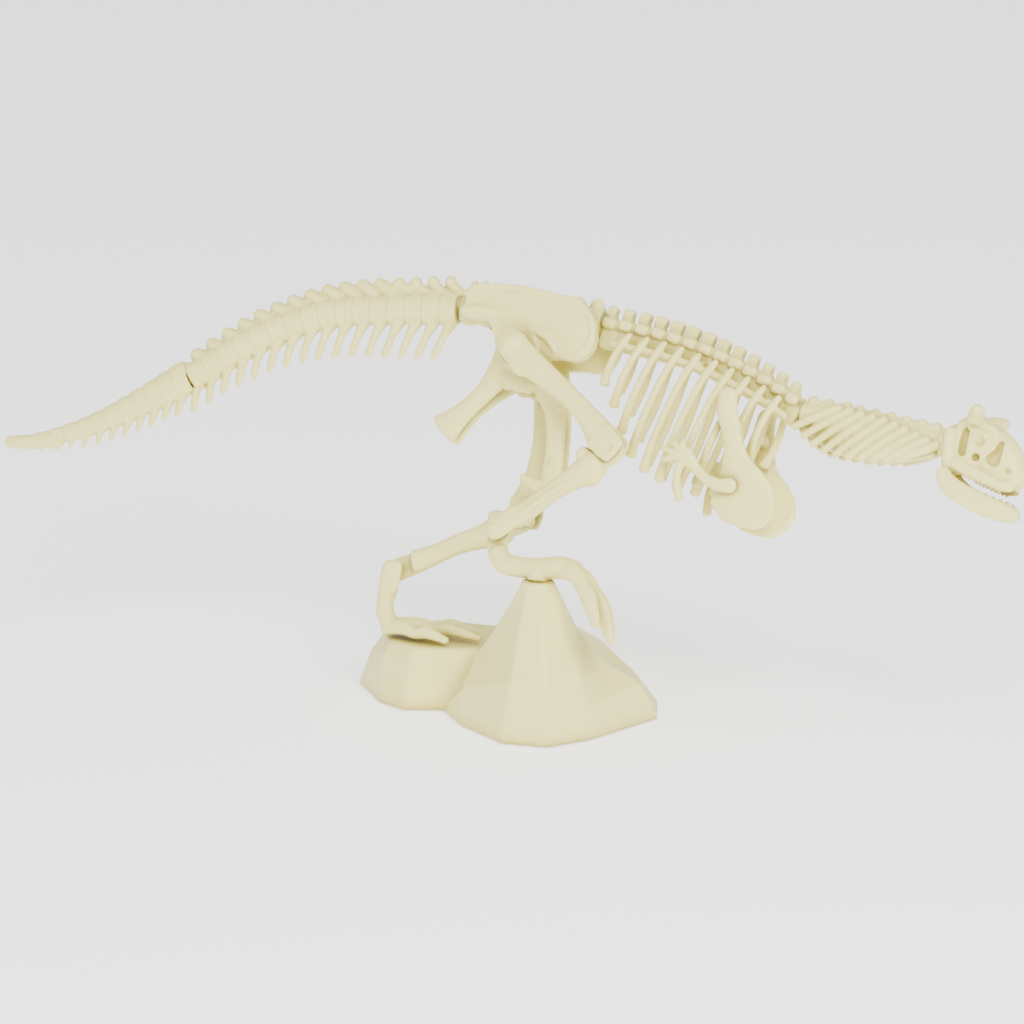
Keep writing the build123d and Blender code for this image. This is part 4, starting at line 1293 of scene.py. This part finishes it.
@dataclass
class Ribs(Piece):
    """Ribs of one side, moulded together on a thin rail."""

    line: tuple[Place, ...] = BACK_LINE
    y: float = -5.1
    lengths: tuple[float, ...] = (11.5, 17.0, 23.5, 29.0, 31.5, 32.5, 31.5, 29.0, 22.5, 15.0)
    drop: float = 3.7
    bulges: tuple[float, ...] = (2.0, 2.5, 3.0, 3.2, 3.4, 3.8, 4.2, 3.8, 3.2, 2.4)
    pin_shares: tuple[float, ...] = (0.12, 0.5, 0.86)
    stub: Point = (70.6, -9.0, -15.2)
    lumps: float = 0.05
    grade: Grade = Grade.FINE
    soften: int = 2

    def model(self, clay: Clay) -> None:
        """Adds the rail, the ribs, their pegs and the stub that carries the shoulder blade.

        Args:
            clay: The mass that is added to.
        """
        rail = []
        for share in (0.06, 0.2, 0.35, 0.5, 0.65, 0.8, 0.94):
            x, z = on_line(self.line, share)
            rail.append((x + 1.0, self.y + 0.2, z - 0.4 - self.drop, 0.8, 1.0))
        clay.bone(*rail)
        for index, (length, bulge) in enumerate(zip(self.lengths, self.bulges)):
            self._rib(clay, 0.13 + 0.084 * index, length, bulge)
        for share in self.pin_shares:
            x, z = on_line(self.line, share)
            clay.bone((x, self.y, z - 3.4, 1.1, 1.1), (x, self.y + 2.8, z - 1.6, 1.0, 1.0))
        x, y, z = self.stub
        clay.bone((x, y, z, 1.9, 1.9), (x - 0.3, y - 4.2, z - 1.4, 1.8, 1.8), domes=(True, False))

    def _rib(self, clay: Clay, share: float, length: float, bulge: float) -> None:
        """One bowed rib with a tapered head and a thick rounded end.

        Args:
            clay: The mass that is added to.
            share: Place along it, from 0 to 1.
            length: Its length.
            bulge: How far it bows outwards.
        """
        x, z = on_line(self.line, share)
        z -= self.drop
        lean = 0.27 * length
        clay.bone(
            (x + 1.7, self.y + 0.1, z + 3.0, 0.8, 0.9),
            (x + 0.5, self.y - 0.3, z + 0.8, 1.0, 1.35),
            (x - 0.16 * lean, self.y - 0.5 * bulge, z - 0.14 * length, 0.95, 1.15),
            (x - 0.42 * lean, self.y - 0.9 * bulge, z - 0.40 * length, 0.95, 1.15),
            (x - 0.7 * lean, self.y - bulge, z - 0.68 * length, 0.95, 1.2),
            (x - 0.92 * lean, self.y - 0.6 * bulge, z - 0.9 * length, 1.05, 1.4),
            (x - lean, self.y - 0.4 * bulge, z - length, 1.25, 1.7),
        )


@dataclass
class ShoulderFrame:
    """Flat plane of a shoulder plate, leaning in towards the breast."""

    top: Place = (70.0, -7.0)
    offset: float = 15.0
    slope: float = 14.0

    def matrix(self, side: Side) -> Matrix:
        """Plate-frame to body-frame placement.

        Args:
            side: Hand of the piece.

        Returns:
            The placement.
        """
        hand = side.value
        turn = Matrix.Rotation(math.radians(self.slope) * hand, 4, "X")
        return Matrix.Translation((self.top[0], -self.offset * hand, self.top[1])) @ turn


@dataclass
class Shoulder(Piece):
    """Shoulder blade and breast plate in one."""

    plane: ShoulderFrame = field(default_factory=ShoulderFrame)
    arm_root: Place = ARM_ROOT

    def place(self) -> Matrix:
        """In the plate's plane."""
        return self.plane.matrix(self.side)

    def model(self, clay: Clay) -> None:
        """Adds the blade, the waist and the broad pear below.

        Args:
            clay: The mass that is added to.
        """
        clay.bone(
            (-1.2, 0, -1.6, 1.6, 2.9),
            (-1.2, 0, -5.0, 1.6, 3.3),
            (0.4, 0, -10.0, 1.5, 3.0),
            (1.8, 0, -15.0, 1.5, 3.3),
            (2.8, 0, -19.6, 1.5, 5.0),
            (4.4, 0, -24.5, 1.5, 8.0),
            (5.4, 0, -29.0, 1.6, 10.0),
            (5.6, 0, -33.0, 1.5, 9.6),
            (5.2, 0, -36.2, 1.3, 6.4),
        )
        clay.knob((-1.3, 0, -1.2), (3.1, 1.6, 3.2))
        clay.bone((11.2, 0, -25.6, 1.0, 1.8), (14.2, 0, -29.6, 1.1, 1.6), (12.6, 0, -34.4, 1.0, 1.4))
        x, z = self.arm_root
        clay.bone((x, 0.9, z, 3.0, 3.0), (x, 1.25, z, 2.6, 2.6), domes=(False, False))


@dataclass
class Arm(Piece):
    """Short arm and hand with spread fingers."""

    plane: ShoulderFrame = field(default_factory=ShoulderFrame)
    root: Place = ARM_ROOT
    y: float = -3.0
    grade: Grade = Grade.FINE
    fingers: tuple[Place, ...] = ((-6.6, -1.8), (-6.8, 1.6), (-3.6, 4.2), (-0.4, 4.4))

    def place(self) -> Matrix:
        """In the shoulder plate's plane."""
        return self.plane.matrix(self.side)

    def model(self, clay: Clay) -> None:
        """Adds the upper arm, the bent forearm, the palm and the fingers.

        Args:
            clay: The mass that is added to.
        """
        x, z = self.root
        y = self.y
        clay.bone(
            (x + 1.2, y + 0.2, z, 1.2, 2.4),
            (x - 2.6, y, z - 0.2, 1.3, 1.9),
            (x - 6.6, y, z + 1.2, 1.2, 1.6),
        )
        clay.bone(
            (x - 6.0, y, z + 0.9, 1.2, 1.6),
            (x - 9.6, y, z + 3.4, 1.2, 1.6),
            (x - 12.4, y, z + 6.2, 1.3, 2.4),
            (x - 13.8, y, z + 7.4, 1.2, 2.6),
        )
        clay.knob((x + 1.0, y + 0.2, z), (2.1, 1.1, 2.1))
        palm_x, palm_z = x - 13.8, z + 7.0
        for dx, dz in self.fingers:
            clay.bone(
                (palm_x + 0.1 * dx, y, palm_z + 0.1 * dz, 1.2, 1.3),
                (palm_x + 0.55 * dx, y - 0.4, palm_z + 0.55 * dz, 0.95, 1.0),
                (palm_x + 0.8 * dx, y - 0.3, palm_z + 0.8 * dz, 1.0, 1.05),
                (palm_x + dx, y, palm_z + dz, 0.6, 0.65),
            )
        clay.bone(
            (palm_x - 0.2, y, palm_z - 0.6, 1.2, 1.6),
            (palm_x - 1.6, y - 0.3, palm_z - 6.0, 1.1, 1.3),
            (palm_x - 0.4, y, palm_z - 12.6, 1.0, 1.4),
        )
        clay.bone((x, y, z, 1.2, 1.2), (x, 1.1, z, 1.2, 1.2), domes=(False, False))


@dataclass
class Neck(Piece):
    """Neck with low knobs above and long swept ribs stacked along each side."""

    line: tuple[Place, ...] = ((86.0, -8.0), (98.0, -8.8), (112.0, -9.8), (129.6, -11.4))
    rib_roots: tuple[Place, ...] = ((97.4, -6.4), (112.5, -8.4), (129.2, -13.6))
    rib_ends: tuple[Place, ...] = ((85.2, -12.2), (94.1, -18.0), (107.0, -19.2), (118.3, -18.4))
    vertebrae: int = 9
    ribs: int = 10
    lumps: float = 0.05
    grade: Grade = Grade.FINE
    soften: int = 2

    def model(self, clay: Clay) -> None:
        """Adds the core, the knobs and the ribs of both sides.

        Args:
            clay: The mass that is added to.
        """
        rows = []
        for share in (0.0, 0.3, 0.6, 1.0):
            x, z = on_line(self.line, share)
            rows.append((x, 0, z, mix(3.2, 2.5, share), mix(3.6, 2.9, share)))
        clay.bone(*rows, domes=(False, False))
        clay.bone(
            (88.0, 0, -10.2, 2.3, 3.0),
            (97.0, 0, -12.0, 3.3, 6.0),
            (107.0, 0, -13.2, 3.3, 6.4),
            (117.0, 0, -14.0, 3.1, 5.2),
            (127.0, 0, -13.2, 2.2, 3.4),
        )
        crest = []
        for share in (0.06, 0.35, 0.65, 0.96):
            x, z = on_line(self.line, share)
            crest.append((x, 0, z + 2.8 - 0.6 * share, 1.6, 1.9))
        clay.bone(*crest)
        for index in range(self.vertebrae):
            share = (index + 0.6) / self.vertebrae
            x, z = on_line(self.line, share)
            wide = 2.6 if index == 2 else 1.7
            clay.bone((x + 0.6, 0, z + 1.5, 1.5, 1.8), (x - 0.6, 0, z + 4.4 - 0.8 * share, 1.6, wide))
        for index in range(self.ribs):
            self._rib_pair(clay, index / (self.ribs - 1))
        x, z = self.line[0]
        clay.bone((x + 2.0, 0, z, 1.6, 1.6), (x - 4.6, 0, z + 0.2, 1.6, 1.6))
        x, z = self.line[-1]
        clay.bone((x - 2.0, 0, z, 1.6, 1.6), (x + 4.6, 0, z, 1.6, 1.6))

    def _rib_pair(self, clay: Clay, share: float) -> None:
        """One long rib on either side, from the top of the neck down and back.

        Args:
            clay: The mass that is added to.
            share: Place along the neck, from 0 at its back to 1.
        """
        root = on_line(self.rib_roots, share)
        end = on_line(self.rib_ends, share)
        for hand in (-1, 1):
            clay.bone(
                (root.x + 0.4, hand * 2.8, root.y + 0.6, 1.2, 1.45),
                (mix(root.x, end.x, 0.35), hand * 3.5, mix(root.y, end.y, 0.33), 1.2, 1.38),
                (mix(root.x, end.x, 0.7), hand * 3.3, mix(root.y, end.y, 0.70), 1.2, 1.32),
                (end.x, hand * 2.6, end.y, 1.1, 1.1),
            )


@dataclass
class Skull(Piece):
    """Deep, short skull with two brow horns and open windows."""

    grade: Grade = Grade.FINE
    lumps: float = 0.07
    soften: int = 2
    hinge: Place = JAW_HINGE
    gum_start: Place = (140.0, -20.9)
    gum_end: Place = (150.5, -24.0)
    teeth: int = 9

    def model(self, clay: Clay) -> None:
        """Adds the case, the brow, the snout, the horns and the teeth.

        Args:
            clay: The mass that is added to.
        """
        clay.bone(
            (130.7, 0, -11.9, 3.6, 4.4),
            (134.0, 0, -12.0, 4.9, 6.6),
            (139.0, 0, -12.6, 5.4, 8.2),
            (144.8, 0, -14.0, 5.0, 8.3),
            (149.4, 0, -16.6, 4.3, 7.2),
            (152.4, 0, -18.8, 3.6, 5.4),
            (153.8, 0, -19.8, 3.1, 4.2),
            sides=16,
        )
        clay.block((139.0, 0, -12.6), (11.0, 9.6, 12.0), 10, 1.6)
        clay.block((147.4, 0, -17.6), (8.6, 7.4, 10.0), 22, 1.4)
        for hand in (-1, 1):
            clay.bone(
                (136.4, hand * 3.2, -6.8, 1.8, 2.0),
                (141.0, hand * 3.7, -6.0, 1.9, 2.0),
                (146.6, hand * 3.2, -7.6, 1.3, 1.3),
            )
            clay.bone(
                (133.0, hand * 4.0, -8.6, 1.3, 1.6),
                (133.4, hand * 4.5, -14.0, 1.2, 1.5),
                (134.4, hand * 4.1, -19.0, 1.1, 1.8),
            )
            clay.bone(
                (136.0, hand * 4.6, -17.9, 1.0, 1.7),
                (141.0, hand * 4.6, -19.6, 1.0, 1.7),
                (146.0, hand * 4.2, -21.2, 1.0, 1.7),
                (150.4, hand * 3.4, -22.6, 1.0, 1.6),
                (153.6, hand * 2.2, -22.8, 1.2, 1.8),
            )
            clay.knob((153.6, hand * 1.6, -20.6), (2.0, 1.9, 3.4), 20)
            self._lug(clay, hand)
            self._teeth(clay, hand)
        self._horns(clay)

    def _horns(self, clay: Clay) -> None:
        """A short cone over either brow, leaning forward and outward.

        Args:
            clay: The mass that is added to.
        """
        for hand in (-1, 1):
            clay.bone(
                (140.0, hand * 2.4, -6.6, 3.2, 3.4),
                (140.7, hand * 5.0, -5.2, 2.8, 2.9),
                (141.8, hand * 7.8, -4.0, 2.4, 2.4),
                (143.0, hand * 10.6, -3.0, 1.7, 1.8),
            )

    def _lug(self, clay: Clay, hand: int) -> None:
        """Cheek that carries the jaw's hinge.

        Args:
            clay: The mass that is added to.
            hand: -1 or 1 for the two sides.
        """
        x, z = self.hinge
        clay.bone(
            (x + 1.0, hand * 3.0, z + 6.0, 0.7, 2.0),
            (x, hand * 3.0, z, 0.7, 2.0),
            (x, hand * 3.0, z - 0.5, 0.7, 1.4),
        )
        clay.bone((x, hand * 2.6, z, 0.9, 0.9), (x, hand * 5.2, z, 0.9, 0.9))

    def _teeth(self, clay: Clay, hand: int) -> None:
        """Small teeth along the rear of the upper jaw.

        Args:
            clay: The mass that is added to.
            hand: -1 or 1 for the two sides.
        """
        for index in range(self.teeth):
            share = index / (self.teeth - 1)
            x = mix(self.gum_start[0], self.gum_end[0], share)
            z = mix(self.gum_start[1], self.gum_end[1], share)
            y = hand * mix(4.3, 2.7, share)
            clay.bone((x + 0.3, y, z + 0.8, 0.7, 0.9), (x, y, z - 0.9, 0.35, 0.4))

    def cut(self, clay: Clay) -> bool:
        """Takes out the windows of both cheeks, the nostrils and the palate.

        Args:
            clay: The mass that is added to.

        Returns:
            Whether anything is taken out.
        """
        for hand in (-1, 1):
            clay.bone((138.2, hand * 5.6, -8.4, 2.6, 1.2), (138.0, hand * 5.4, -14.8, 2.8, 1.3))
            clay.bone((140.6, hand * 6.6, -7.6, 1.4, 1.6), (143.2, hand * 5.6, -11.2, 1.9, 1.7))
            clay.knob((142.4, hand * 4.6, -15.6), (1.25, 1.9, 1.15))
            clay.bone(
                (149.0, hand * 4.4, -10.8, 2.4, 0.9),
                (148.6, hand * 4.2, -13.6, 2.4, 1.3),
                (147.6, hand * 4.4, -15.8, 2.2, 2.3),
            )
            clay.knob((152.4, hand * 3.6, -18.4), (1.2, 1.0, 0.8), 30)
        clay.block((146.0, 0, -23.4), (17.0, 5.4, 4.6), 16, 0.8)
        return True


@dataclass
class LowerJaw(Piece):
    """Scoop-shaped jaw of two deep bars that meet at the chin."""

    grade: Grade = Grade.FINE
    lumps: float = 0.05
    soften: int = 2
    hinge: Place = JAW_HINGE
    teeth: int = 6

    def model(self, clay: Clay) -> None:
        """Adds the bars, the floor, the chin and the teeth.

        Args:
            clay: The mass that is added to.
        """
        x, z = self.hinge
        for hand in (-1, 1):
            clay.bone(
                (x, hand * 4.9, z + 0.2, 0.85, 2.0),
                (x + 1.6, hand * 4.9, z - 2.4, 0.9, 2.6),
                (x + 5.0, hand * 4.7, z - 5.0, 0.95, 3.0),
                (x + 10.4, hand * 4.0, z - 7.2, 1.0, 3.1),
                (x + 16.6, hand * 3.0, z - 8.8, 1.1, 2.8),
                (x + 21.4, hand * 1.6, z - 9.6, 1.2, 2.2),
            )
            for index in range(self.teeth):
                share = index / (self.teeth - 1)
                tooth_x = x + mix(9.0, 20.5, share)
                y = hand * mix(3.6, 1.6, share)
                clay.bone(
                    (tooth_x, y, z - 5.6 - 1.8 * share, 0.6, 0.8),
                    (tooth_x, y, z - 3.7 - 2.6 * share, 0.3, 0.35),
                )
        clay.knob((x + 22.0, 0, z - 9.7), (1.8, 2.2, 2.3))
        clay.bone(
            (x + 6.0, 0, z - 7.8, 4.2, 0.7),
            (x + 13.0, 0, z - 10.4, 3.4, 0.7),
            (x + 20.6, 0, z - 11.3, 1.8, 0.7),
        )


@dataclass
class Rock(Piece):
    """Hollow rock: a tall peak for the pinned foot and a low ledge for the other."""

    grade: Grade = Grade.COARSE
    soften: int = 1
    lumps: float = 0.0
    slot: str = "rock_plastic"
    wall: float = 2.3
    ledge_height: float = 18.5
    peg: Point = (20.0, -39.5, 45.4)
    top_radius: float = 4.7
    pull: float = 1.25
    least_keep: float = 0.2
    sink: float = 1.3
    peak_foot: tuple[Place, ...] = (
        (15, -53.5), (29, -52), (36.6, -39), (43.8, -9), (36, 8), (22, 24), (0, 22), (-14, 4),
        (-17, -25), (-4, -40),
    )
    peak_hem: tuple[Point, ...] = (
        (15.6, -52.2, 9), (28.4, -51, 9), (35.6, -38.5, 9.5), (40.0, -13, 11.5), (32.5, 1, 10),
        (20, 16, 9), (3, 15, 10), (-6, 0, 10), (-8.6, -23.6, 10), (-4, -39.2, 11),
    )
    peak_waist: tuple[Point, ...] = (
        (17, -51, 18), (27.4, -49.8, 18), (33, -38, 17.5), (33, -19, 17.5), (26, -6, 16),
        (18, 6, 18), (8, 4, 19), (3, -4, 20), (0, -22, 20.5), (-3, -31, 20),
    )
    peak_chest: tuple[Point, ...] = (
        (17, -46.5, 31), (24.6, -46, 30.5), (28.6, -39, 30), (27.4, -29.5, 30), (25.4, -22.5, 26.5),
        (19, -16, 28), (12, -17, 29), (8, -22, 30), (6, -28, 31), (6.8, -36, 32),
    )
    ledge_foot: tuple[Place, ...] = (
        (-4, -26), (-17, -27), (-26, -31), (-36, -26), (-51, -8), (-51, 12), (-38, 30), (-8, 34), (10, 26),
    )
    ledge_brow: tuple[Point, ...] = (
        (-4, -23.6, 16), (-15.5, -26.2, 16), (-24.6, -29.2, 16), (-35.4, -24.4, 14.5), (-47, -8, 11),
        (-47, 9, 8), (-36, 26, 5.5), (-8, 30, 5.5), (8, 22, 8),
    )
    ledge_top: tuple[Place, ...] = (
        (-4, -22), (-14.5, -24.8), (-23.6, -27.6), (-33.6, -23), (-40, -14), (-38, -3),
        (-29, 4), (-12, 5), (2, 2),
    )

    def world(self, body_frame: BodyFrame) -> Matrix:
        """The rock stands upright."""
        return body_frame.ground

    def _peak(self, inset: float, base: float) -> list[list[Point]]:
        """Rings of the peak, pulled in towards its axis by an inset.

        Args:
            inset: How far the rings are pulled in.
            base: Height of the lowest ring.

        Returns:
            The rings.
        """
        x, y, z = self.peg
        top = []
        for index in range(len(self.peak_foot)):
            angle = math.radians(-100 + 36 * index)
            top.append((x + self.top_radius * math.cos(angle), y + self.top_radius * math.sin(angle), z))
        foot = [(*corner, base) for corner in self.peak_foot]
        levels = [foot, list(self.peak_hem), list(self.peak_waist), list(self.peak_chest), top]
        return self._pulled(levels, (x - 6, y + 14), inset)

    def _ledge(self, inset: float, base: float) -> list[list[Point]]:
        """Rings of the ledge, pulled in towards its axis by an inset.

        Args:
            inset: How far the rings are pulled in.
            base: Height of the lowest ring.

        Returns:
            The rings.
        """
        foot = [(*corner, base) for corner in self.ledge_foot]
        top = [(*corner, self.ledge_height) for corner in self.ledge_top]
        return self._pulled([foot, list(self.ledge_brow), top], (-22, -6), inset)

    def _pulled(self, levels: list[list[Point]], axis: Place, inset: float) -> list[list[Point]]:
        """Rings moved in towards an upright axis and, above the lowest, down.

        Args:
            levels: Rings from the lowest to the highest.
            axis: Place of the upright axis.
            inset: How far the rings are pulled in.

        Returns:
            The moved rings.
        """
        moved = []
        for level, ring in enumerate(levels):
            row = []
            for x, y, z in ring:
                away = Vector((x - axis[0], y - axis[1]))
                keep = max(self.least_keep, 1.0 - self.pull * inset / away.length)
                drop = self.sink * inset if level else 0
                row.append((axis[0] + away.x * keep, axis[1] + away.y * keep, z - drop))
            moved.append(row)
        return moved

    def model(self, clay: Clay) -> None:
        """Adds the peak and the ledge."""
        clay.rings(*self._peak(0.0, 0.35))
        clay.rings(*self._ledge(0.0, 0.35))

    def cut(self, clay: Clay) -> bool:
        """Takes out the hollow underside.

        Args:
            clay: The mass that is added to.

        Returns:
            Whether anything is taken out.
        """
        clay.rings(*self._peak(self.wall, -2.0))
        clay.rings(*self._ledge(self.wall, -2.0))
        return True


# ---- studio ------------------------------------------------------------------------------------------
@dataclass(frozen=True)
class SoftLight:
    """Square area light."""

    name: str
    place: Point
    power: float
    size: float = 0.6

    def build(self, target: Vector) -> None:
        """Hangs the light and aims it at a place.

        Args:
            target: Place that the light is aimed at.
        """
        bpy.ops.object.light_add(type="AREA", location=self.place)
        lamp = bpy.context.object
        lamp.name = self.name
        lamp.data.size = self.size
        lamp.data.energy = self.power
        lamp.rotation_euler = (target - Vector(self.place)).to_track_quat("-Z", "Y").to_euler()


@dataclass
class Studio:
    """White paper, a bright and a faint soft light, an even sky and the camera."""

    azimuth: float = 25.0
    elevation: float = 14.0
    distance: float = 6.464
    lens: float = 800.0
    aim_right: float = -0.0058
    aim_up: float = -0.0443
    sensor: float = 36.0
    sky: float = 0.8
    paper_size: float = 8.0
    lights: tuple[SoftLight, ...] = (
        SoftLight("key", (0.75, -0.85, 0.95), 34.0),
        SoftLight("front", (-0.75, -0.85, 0.75), 5.0),
    )

    def build(self, body_frame: BodyFrame) -> None:
        """Sets up the floor, the lights and the camera.

        Args:
            body_frame: The frame of the skeleton.
        """
        self._floor()
        world = bpy.data.worlds.new("studio")
        world.use_nodes = True
        background = world.node_tree.nodes["Background"]
        background.inputs["Color"].default_value = WHITE
        background.inputs["Strength"].default_value = self.sky
        bpy.context.scene.world = world
        for light in self.lights:
            light.build(body_frame.origin)
        self._camera(body_frame)

    def _floor(self) -> None:
        """A wide sheet of paper under the stand."""
        bpy.ops.mesh.primitive_plane_add(size=self.paper_size)
        floor = bpy.context.object
        floor.name = "floor"
        floor.data.materials.append(PaperFloor().build())

    def _camera(self, body_frame: BodyFrame) -> None:
        """Long lens from the right, slightly from the front and above.

        Args:
            body_frame: The frame of the skeleton.
        """
        turn = math.radians(self.azimuth)
        tilt = math.radians(self.elevation)
        right = Vector((math.cos(turn), math.sin(turn), 0))
        back = Vector((math.sin(turn) * math.cos(tilt), -math.cos(turn) * math.cos(tilt), math.sin(tilt)))
        up = back.cross(right)
        target = body_frame.origin + right * self.aim_right + up * self.aim_up
        data = bpy.data.cameras.new("camera")
        data.lens = self.lens
        data.sensor_width = self.sensor
        camera = bpy.data.objects.new("camera", data)
        bpy.context.scene.collection.objects.link(camera)
        camera.location = target + back * self.distance
        camera.rotation_euler = (-back).to_track_quat("-Z", "Y").to_euler()
        bpy.context.scene.camera = camera


# ---- the whole model ---------------------------------------------------------------------------------
@dataclass(frozen=True)
class Legs:
    """Joint places of the striding legs in the body frame."""

    thigh: float = THIGH_LENGTH
    shin: float = SHIN_LENGTH
    right_thigh_swing: float = 54.0
    left_thigh_swing: float = 0.0
    right_shin_swing: float = -50.0
    left_shin_swing: float = -64.0

    @staticmethod
    def _below(place: Place, length: float, degrees: float) -> Place:
        """End of a bone that hangs from a place and is swung forward."""
        turn = math.radians(degrees)
        return (place[0] + length * math.sin(turn), place[1] - length * math.cos(turn))

    def knee(self, side: Side) -> Place:
        """Knee of one side."""
        swing = self.right_thigh_swing if side is Side.RIGHT else self.left_thigh_swing
        return self._below((0.0, 0.0), self.thigh, swing)

    def ankle(self, side: Side) -> Place:
        """Ankle of one side."""
        swing = self.right_shin_swing if side is Side.RIGHT else self.left_shin_swing
        return self._below(self.knee(side), self.shin, swing)


def pieces(body_frame: BodyFrame, legs: Legs) -> list[Piece]:
    """All kit parts in building order.

    Args:
        body_frame: The frame of the skeleton.
        legs: Joint places of the legs.

    Returns:
        The pieces.
    """
    found: list[Piece] = [
        Rock(node="rock_base", body="stand"),
        RightFoot(node="foot_right", body="stand", ankle=legs.ankle(Side.RIGHT)),
        LeftFoot(node="foot_left", body="foot_left", ankle=legs.ankle(Side.LEFT), frame=body_frame),
        Sacrum(node="sacrum", body="torso"),
        TailBase(node="tail_base", body="tail_base"),
        TailTip(node="tail_tip", body="tail_tip"),
        Back(node="dorsal_spine", body="torso"),
        Neck(node="neck", body="neck"),
        Skull(node="skull", body="skull"),
        LowerJaw(node="lower_jaw", body="lower_jaw"),
    ]
    for side in Side:
        word = side.word
        right = side is Side.RIGHT
        thigh_swing = legs.right_thigh_swing if right else legs.left_thigh_swing
        shin_swing = legs.right_shin_swing if right else legs.left_shin_swing
        found += [
            Thigh(node=f"thigh_{word}", body=f"thigh_{word}", side=side, swing=thigh_swing),
            Shin(node=f"shin_{word}", body=f"shin_{word}", side=side, knee=legs.knee(side), swing=shin_swing),
            Hip(node=f"hip_{word}", body="torso", side=side),
            Ribs(node=f"ribs_{word}", body="torso", side=side),
            Shoulder(node=f"shoulder_{word}", body="torso", side=side),
            Arm(node=f"arm_{word}", body=f"arm_{word}", side=side),
        ]
    return found


def main() -> None:
    """Builds every piece in order, then the studio."""
    logging.basicConfig(level=logging.INFO)
    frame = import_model()
    body_frame = BodyFrame.from_joints(frame["joints"])
    finishes = {name: MouldedPlastic(name).build() for name in ("bone_plastic", "rock_plastic")}
    for piece in pieces(body_frame, Legs()):
        piece.build(body_frame, finishes[piece.slot])
    Studio().build(body_frame)


if __name__ == "__main__":
    main()
